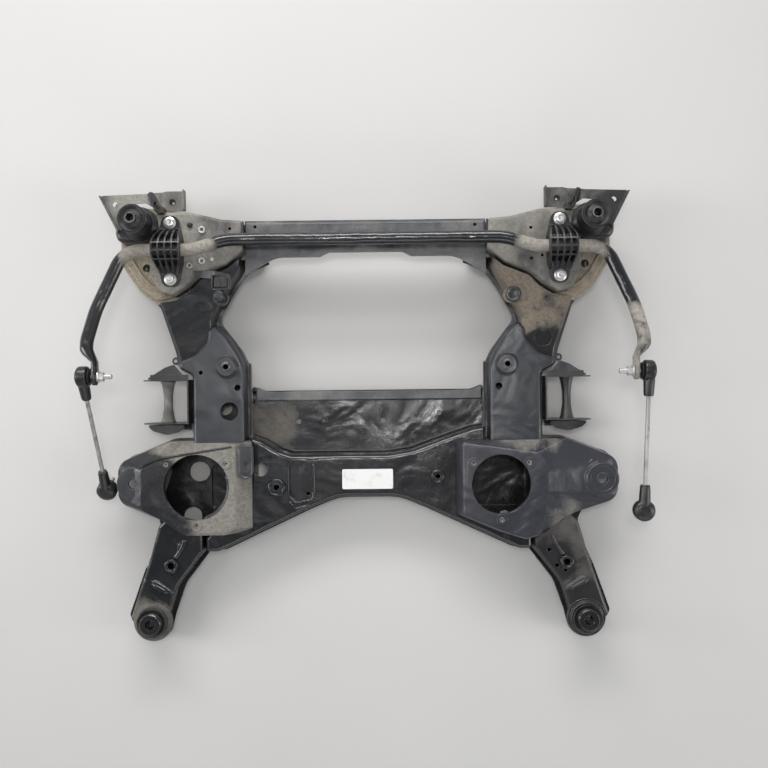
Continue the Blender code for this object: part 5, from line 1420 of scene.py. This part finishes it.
def cable_bracket():
    """The small bent strip and clip for a sensor cable, screwed to the left cover's boss."""
    top = GUSSET_TOP + GAP
    strip = [
        (-338, top), (-305, top), (-292, top + 8), (-262, top + 8), (-262, top + 10.5), (-293, top + 10.5),
        (-306, top + 2.5), (-338, top + 2.5),
    ]
    body = piece("cable_bracket", bar_stock(strip, 250, 300, "y"))
    plan = [
        (-298, 251, 4), (-262, 251, 4), (-262, 280, 4), (-300, 290, 4), (-340, 290, 5), (-340, 278, 5),
        (-300, 274, 6),
    ]
    keep(body, prism(plan, 0, 300))
    add(body, box(-292, -268, 256, 274, top + 9, top + 20))
    cut(body, box(-288, -272, 250, 280, top + 12.5, top + 17))
    x, y = -COVER_BOSS[0], COVER_BOSS[1]
    leg = box(-291, -283, 229, 258, top + 8, top + 10.5)
    post = drum(x, y, 9, cover_height(x, y) + 9 + GAP, top + 10.5)
    add(body, leg, post, drum(x, y, 8, top + 10, top + 17, 6))


# Drop links: modelled along -Y from the upper ball at the origin, then swung to where they hang

def link_angles(side):
    """How a link hangs: its swing about the stud, as a matrix, and its tilt inwards in degrees."""
    swing, tilt = (RIGHT_LINK_SWING, RIGHT_LINK_TILT) if side > 0 else (LEFT_LINK_SWING, LEFT_LINK_TILT)
    return Matrix.Rotation(math.radians(swing), 4, "X"), tilt


def link_pose(side):
    swing, tilt = link_angles(side)
    return at(side * LINK_X, EYE_Y, EYE_Z) @ swing @ Matrix.Rotation(math.radians(-side * tilt), 4, "Z")


TO_MINUS_Y = Matrix.Rotation(math.radians(90), 4, "X")


def socket_shell(length):
    """A moulded ball housing: its drum about Z, open underneath, and its neck down to the rod along -Y."""
    radius, half = SOCKET_RADIUS, SOCKET_THICKNESS / 2
    drum_profile = [
        (radius - 5, -half), (radius - 1, -half + 2), (radius, -half + 4), (radius, half - 9),
        (radius - 2, half - 6), (radius - 7, half - 3), (radius - 12, half - 2),
    ]
    neck = [(11, 4), (10.5, radius + 4), (9.5, length - 4), (8.2, length)]
    return turned(drum_profile, ROUND_SIDES), moved(turned(neck, SMALL_SIDES), TO_MINUS_Y)


def link_socket(name, pose, along, length):
    """One housing, posed, with the ball seat and the rod's hole cut into it."""
    shell, neck = socket_shell(length)
    body = piece(name, moved(shell, pose))
    add(body, moved(neck, pose @ along))
    fit = (BALL_RADIUS + GAP) / math.cos(math.pi / SMALL_SIDES)
    mouth = [(SOCKET_RADIUS - 6, -SOCKET_THICKNESS), (SOCKET_RADIUS - 8, -SOCKET_THICKNESS / 2)]
    seat = mouth + [(fit, -BALL_RADIUS * 0.6), (fit, BALL_RADIUS * 0.4), (fit / 2, BALL_RADIUS + 2 * GAP)]
    cut(body, moved(turned(seat, SMALL_SIDES), pose))
    hole = moved(drum(0, 0, LINK_ROD_RADIUS + GAP, SOCKET_RADIUS + 6, length + 10), TO_MINUS_Y)
    cut(body, moved(hole, pose @ along))


def ball_stud(name, pose, reach):
    """A forged ball with its taper, collar and threaded end along -Z."""
    ball = BALL_RADIUS
    profile = [(2.5, ball * 0.95), (5.8, ball * 0.7), (ball, 0), (5.8, -ball * 0.7)]
    half = SOCKET_THICKNESS / 2
    profile += [(STUD_RADIUS, -half + 1), (STUD_RADIUS, -reach + 1.5), (STUD_RADIUS - 1.2, -reach)]
    piece(name, moved(turned(profile, SMALL_SIDES), pose))


def boot(name, pose, seat, tilt):
    """The rubber gaiter between a housing and the face that the stud is drawn against."""
    half = SOCKET_THICKNESS / 2 + GAP + (SOCKET_RADIUS - 5) * math.sin(math.radians(tilt))
    inner = (STUD_RADIUS + GAP) / math.cos(math.pi / SMALL_SIDES)
    profile = [
        (inner, -half), (SOCKET_RADIUS - 5, -half), (SOCKET_RADIUS - 4, -half - (seat - half) * 0.4),
        (inner + 3.5, -seat), (inner, -seat),
    ]
    piece(name, moved(turned(profile, SMALL_SIDES, hollow=True), pose))


def drop_link(side, word):
    """Rod, two housings and their ball studs. The upper stud is bolted through the bar's eye."""
    pose = link_pose(side)
    spot = at(side * LINK_X, EYE_Y, EYE_Z)
    inward = Matrix.Rotation(math.radians(side * 90), 4, "Y")
    length = 48.0
    lower_pose = pose @ at(0, -LINK_LENGTH, 0)
    face = LINK_X - EYE_X - EYE_THICKNESS / 2 - 4 * GAP
    link_socket(f"link_upper_housing_{word}", pose @ inward, inward.inverted(), length)
    back = Matrix.Rotation(math.radians(180), 4, "Z")
    link_socket(f"link_lower_housing_{word}", lower_pose, back, length)
    start = SOCKET_RADIUS + 6.5
    rod = moved(drum(0, 0, LINK_ROD_RADIUS, start, LINK_LENGTH - start), TO_MINUS_Y)
    piece(f"link_rod_{word}", moved(rod, pose))
    ball_stud(f"link_upper_stud_{word}", spot @ inward, LINK_X - EYE_X + 32)
    ball_stud(f"link_lower_stud_{word}", lower_pose, 44)
    swing, tilt = link_angles(side)
    boot(f"link_upper_boot_{word}", spot @ swing @ inward, face, tilt)
    boot(f"link_lower_boot_{word}", lower_pose, 24, 0)
    inner = -(LINK_X - EYE_X + EYE_THICKNESS / 2 + GAP)
    body = piece(f"link_nut_{word}", moved(drum(0, 0, 11, inner, inner - 2, ROUND_SIDES), spot @ inward))
    add(body, moved(drum(0, 0, 9.2, inner - 1.5, inner - 11, 6), spot @ inward))
    cut(body, moved(drum(0, 0, STUD_RADIUS + GAP, inner - 30, inner + 10), spot @ inward))


def build():
    for make in (rear_crossmember_lower, rear_crossmember_upper, crossmember_upper, crossmember_lower):
        make()
    anti_roll_bar()
    cable_bracket()
    named = (
        (engine_console, "engine_console_"), (rear_arm, "rear_arm_"), (rear_bush, ""),
        (side_member_lower, "side_member_lower_"), (side_member_upper, "side_member_upper_"),
        (front_cover, "front_cover_"), (rack_boss, ""), (gusset_pan, "front_gusset_lower_"),
        (gusset_box, "front_gusset_upper_"), (tower, "front_tower_"), (front_bush, ""),
        (front_bracket, "front_bracket_"), (arm_bracket, "arm_bracket_"), (bar_bush, ""), (bar_clamp, ""),
    )
    for side, word in reversed(SIDES):
        for make, start in named:
            make(side, start + word)
        for (_, y), place in zip(clamp_bolt_points(), ("front", "rear")):
            clamp_bolt(side, y, f"clamp_bolt_{place}_{word}")
        drop_link(side, word)


# Details that only the looks carry

FITTINGS = {}


def skin(node):
    return bpy.data.objects[node + "_skin"]


def fitting(name, solid, finish, body="carrier"):
    """A small part of the looks alone, riding on a body."""
    made = placed(name, smoothed(mesh_of(name, solid)))
    FITTINGS[name] = finish
    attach(made, body)
    return made


def stepped(route, step):
    """Points at even steps along a route of (x, y, z) corners."""
    corners = [Vector(corner) for corner in route]
    points = []
    for start, end in zip(corners, corners[1:]):
        count = max(1, round((end - start).length / step))
        points += [start.lerp(end, i / count) for i in range(count)]
    return points + [corners[-1]]


def tube_along(route, radius, step=3.0, ripple=0.0, pitch=4.5, sides=10):
    """A rod along a route with rounded ends, whose radius may ripple as a weld's does."""
    points = stepped(route, step)
    rings = []
    last = len(points) - 1
    for index, point in enumerate(points):
        ahead = (points[min(index + 1, last)] - points[max(index - 1, 0)]).normalized()
        taper = min(1.0, 0.35 + 0.65 * min(index, last - index) * step / radius)
        wave = 1 - ripple * (0.5 + 0.5 * math.cos(2 * math.pi * index * step / pitch))
        rings.append(ring_across(point, ahead, radius * taper * wave, radius * taper * wave, sides))
    return loft(rings)


def weld(name, route):
    fitting(name, tube_along(route, WELD_RADIUS, step=1.5, ripple=0.22), "weld")


def hex_head(x, y, seat, flats, height, washer):
    """A flanged hexagon head with a chamfered top, standing on a washer."""
    corner = flats / math.sqrt(3)
    body = hex_crown(x, y, [(washer, seat), (washer, seat + 1.2), (corner + 0.6, seat + 2.2)], 36)
    crown = [(corner, seat + 1.5), (corner, seat + height - 1), (corner - 1.4, seat + height)]
    return together([body, hex_crown(x, y, crown)])


def nut_ring(x, y, seat, radius, bore, height):
    profile = [(bore, seat), (radius, seat), (radius, seat + height * 0.6), (radius - 1, seat + height)]
    profile += [(bore + 0.8, seat + height), (bore, seat + height - 0.8)]
    return ring_at(x, y, profile, 32)


def mount_lugs(side, word):
    """Raised pads round the bolt holes of an engine-mount opening, and its rim turned down."""
    x, y, radius = engine_opening(side)
    body, top = skin(f"engine_console_{word}"), CONSOLE_TOP
    rim = [(radius, top - 15), (radius + 2.2, top - 15), (radius + 2.2, top - 1), (radius, top - 1)]
    add(body, ring_at(x, y, rim, ENGINE_SIDES))
    for a, b in lug_points(side):
        add(body, drum(a, b, LUG_HOLE_RADIUS + 5, top - 1, top + 1.6, 36))
        cut(body, drum(a, b, LUG_HOLE_RADIUS, top - 20, top + 10, 28))
    cut(body, drum(x, y, radius, top - 30, top + 20, ENGINE_SIDES))


def ear_steps(side, word):
    """The stepped rings by which a console rises to the disc of its ear."""
    body = skin(f"engine_console_{word}")
    x, y = side * EAR_X, EAR_Y
    facing = 180 if side > 0 else 0
    for further, height, spread in ((-1, 13, 78), (6, 9.5, 64), (13, 6, 54)):
        reach = EAR_RADIUS + further
        turns = [facing + spread * (i / 12 - 1) for i in range(25)]
        corner = [(x - side * 2, y)]
        arc, shrunk = [arc_points(x, y, r, turns) + corner for r in (reach, reach - 2)]
        low, high = CONSOLE_SHOULDER - 2, CONSOLE_SHOULDER + height
        add(body, loft([level(arc, low), level(arc, high - 2), level(shrunk, high)]))
    disc, top = EAR_RADIUS - 5, EAR_TOP
    profile = [(0.1, top - 8), (disc, top - 8), (disc, top - 2), (disc - 2, top), (0.1, top)]
    add(body, moved(turned(profile, 48), at(x, y, 0)))
    cut(body, drum(x, y, EAR_HOLE_RADIUS, CONSOLE_SHOULDER - 20, top + 20, 32))
    hole = EAR_HOLE_RADIUS
    dish = [(hole + 3, top - 1.2), (disc - 9, top - 1.2), (disc - 8, top + 3), (hole + 2, top + 3)]
    cut(body, ring_at(x, y, dish))


def arm_beads(side, word):
    """Raised beads and the small button on a rear arm, and the steps round its bush."""
    body = skin(f"rear_arm_{word}")
    ends = ((401, -353), (441, -332)) if side > 0 else ((-437, -332), (-403, -352))
    add(body, tube_along([(x, y, rear_arm_height(x, y) - 1.5) for x, y in ends], 7.5, sides=16))
    if side < 0:
        add(body, tube_along([(-377, -246, 73), (-382, -272, 71)], 6, sides=16))
        add(body, hex_crown(-395, -309, [(5.5, ARM_TOP), (3.5, ARM_TOP + 10)], 20))
    low, high, inner = ARM_TOP - 2, ARM_TOP + 3, ARM_BORE + 3
    step = [(inner, low), (ARM_BORE + 14, low), (ARM_BORE + 12, high), (inner, high)]
    add(body, ring_at(side * REAR_MOUNT_X, REAR_MOUNT_Y, step, 64))


def gusset_screws():
    """The small screws, nuts and studs beside the left clamp."""
    seat = GUSSET_TOP + 0.2
    fitting("screw_gusset_a", hex_head(-342.5, 380, seat, 8, 4, 5.5), "bracket")
    fitting("nut_gusset_b", nut_ring(-319, 370, seat, 7.5, 3.2, 5), "zinc")
    fitting("stud_gusset_c", nut_ring(-343.5, 300, seat, 6, 3.4, 7), "zinc")
    fitting("nut_gusset_d", nut_ring(-319.7, 309.5, seat, 7, 3.4, 4), "zinc")
    fitting("screw_gusset_e", hex_head(-300, 313, seat, 5, 3, 3.6), "zinc")


def front_tabs(side, word):
    """The looped tab between a tower and its bracket, and the nuts under the bracket's two small holes."""
    tab = [
        (424, 443, 4), (413, 445, 5), (404, 424, 4), (392, 414, 4), (391, 402, 3), (402, 400, 5),
        (411, 409, 4),
    ]
    rings = ((0, BRACKET_TAB_Z + 2), (0, 122), (1.6, 124))
    outer = [level(outline(on_side(side, tab), lean), height) for lean, height in rings]
    hole = [(409, 434, 2), (405, 420, 2), (398, 411, 2), (402, 407, 2), (411, 418, 2)]
    pierce(fitting(f"formed_tab_{word}", loft(outer), "bracket"), prism(on_side(side, hole), 112, 140))
    for index, (x, y) in enumerate(((486, 420), (380, 428))):
        nut = nut_ring(side * x, y, BRACKET_TAB_Z - 9, 10, 2.6, 6)
        fitting(f"weld_nut_{word}_{index + 1}", nut, "bracket")


def pierce(made, solid):
    """Takes a solid out of a fitting at once."""
    body, helper = placed("cut_body", made.data), placed("cut_tool", mesh_of("cut_tool", solid))
    step = body.modifiers.new("cut", "BOOLEAN")
    step.operation, step.solver, step.object = "DIFFERENCE", "MANIFOLD", helper
    bpy.context.view_layer.update()
    shown = body.evaluated_get(bpy.context.evaluated_depsgraph_get())
    made.data = smoothed(bpy.data.meshes.new_from_object(shown))
    made.data.materials.clear()
    for thing in (body, helper):
        bpy.data.objects.remove(thing)


def clip_and_boss():
    """The cable clip in its cage, with its two ties, and the bolt on the boss below it."""
    top = GUSSET_TOP + GAP + 11
    fitting("cable_clip", box(-290.5, -269.5, 257.5, 272.5, top, top + 11), "plastic")
    for index, x in enumerate((-286, -276)):
        fitting(f"cable_tie_{index + 1}", box(x, x + 4, 256.2, 273.8, top + 1, top + 12.4), "rubber")
    fitting("cage_wall_a", box(-298, -295.5, 254, 280, top - 1, top + 9), "bracket")
    fitting("cage_wall_b", box(-266, -263.5, 252, 279, top - 1, top + 12), "bracket")
    fitting("boss_bolt", hex_head(-285, 240, GUSSET_TOP + GAP + 17.3, 13, 5, 9.5), "bracket")


def bracket_bowl(side, word):
    """The dished foot under a front control-arm bracket."""
    rim = [(362, -13.5, 4), (380, -28, 20), (404, -34, 30), (432, -26, 20), (446, -13.5, 3)]
    foot = [(378, -13.5, 4), (388, -20, 8), (404, -24, 14), (420, -20, 8), (430, -13.5, 3)]
    low, high = ARM_BRACKET_PIN_Z - 34, ARM_BRACKET_PIN_Z + 12
    rings = [
        level(outline([(x, y, r, 6) for x, y, r in on_side(side, plan)]), height)
        for plan, height in ((foot, low), (rim, high - 5), (rim, high))
    ]
    fitting(f"bracket_bowl_{word}", loft(rings), "bracket")


def bevelled(corners, top, drop, inset):
    """A plate whose upper edge slopes in by inset over its last 2 mm."""
    edge = outline(corners)
    return loft([level(edge, top - drop), level(edge, top - 2), level(outline(corners, inset), top)])


def gusset_web(side, word):
    """The dusty pressed sheet that shows beside a clamp, with its drain hole and its raised crease."""
    plan = [
        (352, 262, 6), (380, 244, 10), (420, 236, 10), (450, 260, 50), (484, 313, 16), (484, 340, 6),
        (425, 352, 6), (420, 300, 20), (398, 262, 16),
    ]
    top = GUSSET_SEAM_Z + SHEET + 3
    made = fitting(f"gusset_web_{word}", bevelled(on_side(side, plan), top, 6, 2.5), "gusset_lower")
    x, y, radius = GUSSET_DRAIN
    pierce(made, drum(side * x, y, radius, top - 20, top + 20, 28))
    crease = [(470, 322), (452, 290), (432, 268), (412, 258), (402, 246)]
    route = [(side * x, y, top - 0.6) for x, y in crease]
    fitting(f"gusset_crease_{word}", tube_along(route, 3.0, sides=12), "gusset_lower")


def bracket_shelves():
    """The corner sheets of the front control-arm brackets, and the sleeve on the left one's pin."""
    low = ARM_BRACKET_PIN_Z + 24.4
    front = ARM_BRACKET_FRONT_Y + SHEET
    corner = [(360, front + 0.4, 2), (443, front + 0.4, 2), (404, 102, 6), (386, 108, 4)]
    for (side, word), finish in zip(SIDES, ("tower", "member")):
        fitting(f"bracket_shelf_{word}", prism(on_side(side, corner), low, low + SHEET), finish)
    length = ARM_BRACKET_FRONT_Y - ARM_BRACKET_REAR_Y
    half = [(0.1, 1), (15.4, 1), (12.4, 8), (8.9, length * 0.35)]
    waist = half + [(radius, length - along) for radius, along in reversed(half)]
    place = at(-ARM_BRACKET_PIN_X, ARM_BRACKET_REAR_Y, ARM_BRACKET_PIN_Z) @ TO_Y
    fitting("pin_sleeve_left", moved(turned(waist, 32), place), "gusset")


def boss_faces():
    """The rings and heads that show on the bosses."""
    for side, word in SIDES:
        ring = nut_ring(side * RACK_MOUNT_X, RACK_MOUNT_Y, RACK_SEAT_Z, 10, 5.4, 1.4)
        fitting(f"rack_ring_{word}", ring, "steel")
    plug = [(0.1, 0), (15.5, 0), (15.5, 3), (14, 4.6), (11, 4.8), (9, 3.6), (0.1, 3.2)]
    x, y = RIGHT_BOSS
    fitting("boss_head_right", moved(turned(plug, 40), at(x, y, cover_height(x, y) + 9.5)), "bracket")


def console_faces():
    """The left console's dark front bead, which stands in for the shadow under the plate's front edge, its
    oval dish, lit rim and ear disc.
    """
    top = CONSOLE_TOP
    # Painted shadow: a bead in the dark rear paint along the line where the plate's front edge casts its
    # shadow.
    edge = [(-449, -93), (-412, -78), (-360, -70), (-300, -61), (-268, -56)]
    fitting("console_shade_bead_left", tube_along([(x, y, top - 0.4) for x, y in edge], 2.2, sides=12), "rear")
    dish = [(-256, -54, 8), (-256, -120, 15), (-225, -120, 15), (-225, -54, 6)]
    steps = ((0, -6), (0, 0.6), (2.5, 1.6), (4.5, 0.2))
    rings = [level(outline(dish, inset), top + rise) for inset, rise in steps]
    slot = [(-245, -88, 4), (-245, -104, 4), (-236, -104, 4), (-236, -88, 4)]
    pierce(fitting("console_dish_left", loft(rings), "pan"), prism(slot, top - 3, top + 5))
    x, y, radius = engine_opening(-1)
    roll = level(arc_points(x, y, radius - 1, range(-78, 25, 6)), top - 9)
    fitting("console_rim_left", tube_along(roll, 6, sides=16), "tower")
    disc = nut_ring(-EAR_X, EAR_Y, CONSOLE_SHOULDER + 12, EAR_RADIUS - 5.4, EAR_HOLE_RADIUS, 4.4)
    fitting("ear_disc_left", disc, "member")


def lug_nuts(side, word):
    """The nuts under the lugs round an engine-mount opening."""
    for index, (x, y) in enumerate(lug_points(side)):
        thread = nut_ring(x, y, CONSOLE_TOP - 9, LUG_HOLE_RADIUS + 3, 1.4, 6)
        fitting(f"lug_nut_{word}_{index + 1}", thread, "rod")


def shell_faces():
    """The lips round the rear shell's pocket and bosses, and the dusty flange in front of the shelf."""
    height = REAR_TOP + 0.2
    lip = [(-110, -92), (-109, -150), (-113, -168), (-124, -178), (-146, -184), (-158, -170)]
    fitting("pocket_lip", tube_along(level(lip, height), 2.6, sides=14), "rear")
    for word, place, radius, thick in zip(("left", "right"), REAR_BOSSES, (15, 11), (3.4, 2.8)):
        section = arc_points(radius, height, thick, range(0, 360, 30))
        fitting(f"boss_lip_{word}", ring_at(*place, section, z=3.6), "rear")
    edge = [(-230, 62, 3), (-230, 32, 3), (236, 32, 3), (236, 62, 3), (214, 52, 14), (-208, 52, 14)]
    fitting("shelf_flange", bevelled(edge, PLATE_TOP + LIP_HEIGHT + 1, 8, 2), "beam")


def arm_faces(side, word):
    """The soft ridges pressed into a rear arm, and the lip of its boss."""
    ridge = [(368, -240), (373, -256), (383, -272), (392, -284)]
    bead = [(438, -326), (424, -332), (408, -343), (393, -354)]
    for name, line, drop, radius in (("ridge", ridge, 1, 5.0), ("bead", bead, 1.5, 6.5)):
        route = [(side * x, y, rear_arm_height(side * x, y) - drop) for x, y in line]
        fitting(f"arm_{name}_{word}", tube_along(route, radius, sides=16), f"arm_{word}")
    section = arc_points(11, 0, 3, range(0, 360, 30))
    lip = ring_at(side * ARM_BOSS[0], ARM_BOSS[1], section, 40, ARM_TOP + 13)
    fitting(f"arm_boss_lip_{word}", lip, "rear")


def seams():
    """Weld beads where the shells meet."""
    front = [
        (236, -19), (212, -22), (146, -45), (88, -66), (40, -73), (-155, -73), (-178, -65), (-212, -45),
        (-236, -36),
    ]
    weld("weld_shell_front", level(front, PLATE_TOP + 1.2))
    circled = range(0, 361, 10)
    for side, word in SIDES:
        weld(f"weld_member_{word}", [(side * (MEMBER_INNER_X - 1), y, SEAM_Z + 0.4) for y in (-36, 40, 110)])
        foot = arc_points(FRONT_MOUNT_X, FRONT_MOUNT_Y, TOWER_RADIUS + 7, range(180, 300, 12))
        weld(f"weld_tower_{word}", [(side * x, y, GUSSET_TOP + 1) for x, y in foot])
        weld(f"weld_beam_{word}", [(side * BEAM_END_X, y, BEAM_TOP + 0.6) for y in (346, 388)])
        rack = arc_points(side * RACK_MOUNT_X, RACK_MOUNT_Y, 22, circled)
        weld(f"weld_rack_{word}", level(rack, MEMBER_TOP + 0.3))
        bush = arc_points(side * REAR_MOUNT_X, REAR_MOUNT_Y, ARM_BORE + 4.5, circled)
        weld(f"weld_arm_{word}", level(bush, ARM_TOP + 7))


def top_of(body):
    return max(corner[2] for corner in body.bound_box) / MM


def bush_bores(side, word):
    """The wide mouths of the bores in the body bushes' sleeves."""
    places = (("front", FRONT_MOUNT_X, FRONT_MOUNT_Y, 7.6), ("rear", REAR_MOUNT_X, REAR_MOUNT_Y, 10.2))
    for place, x, y, wide in places:
        body = skin(f"{place}_bush_sleeve_{word}")
        cut(body, drum(side * x, y, wide, top_of(body) - 30, top_of(body) + 5, 36))


def bolt_dishes(side, word):
    """The hollow crowns of the clamp bolts."""
    for place, (x, y) in zip(("front", "rear"), clamp_bolt_points()):
        body = skin(f"clamp_bolt_{place}_{word}")
        top = top_of(body)
        dish = [(0.05, top - 1.6), (4.2, top - 1.2), (5.2, top + 2), (0.05, top + 2)]
        cut(body, moved(turned(dish, 28), at(side * x, y, 0)))


def on_both_sides(*makers):
    for make in makers:
        for side, word in SIDES:
            make(side, word)


def details():
    on_both_sides(mount_lugs, ear_steps, arm_beads)
    gusset_screws()
    on_both_sides(front_tabs)
    clip_and_boss()
    on_both_sides(bracket_bowl)
    bracket_shelves()
    on_both_sides(gusset_web)
    boss_faces()
    console_faces()
    on_both_sides(lug_nuts)
    shell_faces()
    on_both_sides(arm_faces)
    seams()
    on_both_sides(bolt_dishes, bush_bores)


def dress():
    """Gives every shown node or skin its finish."""
    looks = finishes()
    for node, thing in frame["nodes"].items():
        shown = bpy.data.objects.get(node + "_skin") or thing
        finish = next(look for look, starts in FINISH_OF.items() if node.startswith(starts))
        shown.data.materials.clear()
        shown.data.materials.append(looks[finish])
    for name, finish in FITTINGS.items():
        bpy.data.objects[name].data.materials.append(looks[finish])


def label():
    """The blank sticker on the rear cross member."""
    corners = [(-52, -146, 3), (50, -146, 3), (50, -106, 3), (-52, -106, 3)]
    made = placed("blank_label", mesh_of("blank_label", prism(corners, REAR_TOP + 0.1, REAR_TOP + 0.35)))
    s = Shading("label_paper")
    scuffs = s.ramp(s.noise(40.0, 6.0, 0.7), 0.5, 0.75)
    colour = s.blend(s.maths("MULTIPLY", scuffs, 0.6), (0.62, 0.62, 0.6, 1.0), (0.3, 0.28, 0.25, 1.0))
    s.relief([(scuffs, 0.1, 0.0002)])
    made.data.materials.append(s.finish(colour, 0.45))
    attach(made, "carrier")


# Each soft light's name, place, aim, size and power
PANELS = (
    ("key", (-0.5, 3.2, 1.9), (0, 0.1, 0.05), (3.6, 0.9), 140),
    ("left", (-3.0, 0.2, 1.9), (0, 0, 0.05), (1.0, 3.0), 60),
    ("right", (3.0, -0.6, 1.7), (0, 0, 0.05), (1.0, 2.6), 38),
    ("front", (0.3, -3.2, 2.2), (0, 0, 0.05), (3.0, 0.8), 22),
    ("sheen_left", (-0.86, 0.2, 3.0), (-0.3, 0.1, 0.08), (0.5, 0.8), 3.0),
    ("sheen_right", (0.75, 0.3, 3.0), (0.28, 0.1, 0.08), (0.4, 0.7), 2.4),
    ("sheen_rear", (-0.3, -0.62, 3.0), (0, -0.15, 0.07), (1.1, 0.25), 0.8),
    ("sheen_front", (0.05, 1.05, 3.0), (0, 0.36, 0.1), (1.3, 0.3), 3.0),
    ("overhead", (0.0, 0.34, 2.3), (0, 0.05, 0.0), (0.3, 0.3), 12),
)
FLOOR_HALF = 6.0
FLOOR_Z = -0.0005
SENSOR_WIDTH = 36.0


def panel(name, place, aim, size, power):
    light = bpy.data.lights.new(name, "AREA")
    light.shape = "RECTANGLE"
    light.size, light.size_y = size
    light.energy = power
    made = placed(name, light)
    made.location = place
    made.rotation_euler = (Vector(aim) - Vector(place)).to_track_quat("-Z", "Y").to_euler()


def pale_floor():
    mesh = bpy.data.meshes.new("floor")
    corners = [(x * FLOOR_HALF, y * FLOOR_HALF, FLOOR_Z) for x, y in ((-1, -1), (1, -1), (1, 1), (-1, 1))]
    mesh.from_pydata(corners, [], [(0, 1, 2, 3)])
    s = Shading("floor_grey")
    tone = s.blend(s.noise(1.5, 3.0), (0.44, 0.43, 0.415, 1.0), (0.49, 0.48, 0.465, 1.0))
    mesh.materials.append(s.finish(tone, 0.6))
    placed("floor", mesh)


def studio_air():
    """A dim surrounding that fades towards the zenith."""
    world = bpy.data.worlds.new("studio")
    world.use_nodes = True
    tree = world.node_tree
    place = tree.nodes.new("ShaderNodeTexCoord")
    height = tree.nodes.new("ShaderNodeSeparateXYZ")
    tree.links.new(place.outputs["Generated"], height.inputs[0])
    fade = tree.nodes.new("ShaderNodeMapRange")
    for socket, value in (("From Min", 0.35), ("From Max", 0.95), ("To Min", 0.62), ("To Max", 0.16)):
        fade.inputs[socket].default_value = value
    tree.links.new(height.outputs[2], fade.inputs["Value"])
    tree.links.new(fade.outputs[0], tree.nodes["Background"].inputs["Strength"])
    tree.nodes["Background"].inputs["Color"].default_value = (0.84, 0.88, 0.95, 1.0)
    bpy.context.scene.world = world


def photo_camera():
    camera = bpy.data.cameras.new("camera")
    camera.sensor_width = SENSOR_WIDTH
    camera.lens = SENSOR_WIDTH * PHOTO_FOCAL / PHOTO_SIDE
    camera.clip_end = 30.0
    eye = placed("camera", camera)
    eye.location = CAMERA_PLACE
    eye.rotation_euler = (0.0, 0.0, -math.radians(CAMERA_ROLL))
    bpy.context.scene.camera = eye
    bpy.context.scene.view_settings.view_transform = "Standard"


# The photograph: its side and focal length in pixels, the camera's place in metres and its roll in degrees
PHOTO_SIDE = 768
PHOTO_FOCAL = 850.0
CAMERA_PLACE = (0.034, 0.0645, 1.78)
CAMERA_ROLL = 0.65

build()
details()
bake_pieces()
dress()
label()
pale_floor()
for settings in PANELS:
    panel(*settings)
studio_air()
photo_camera()
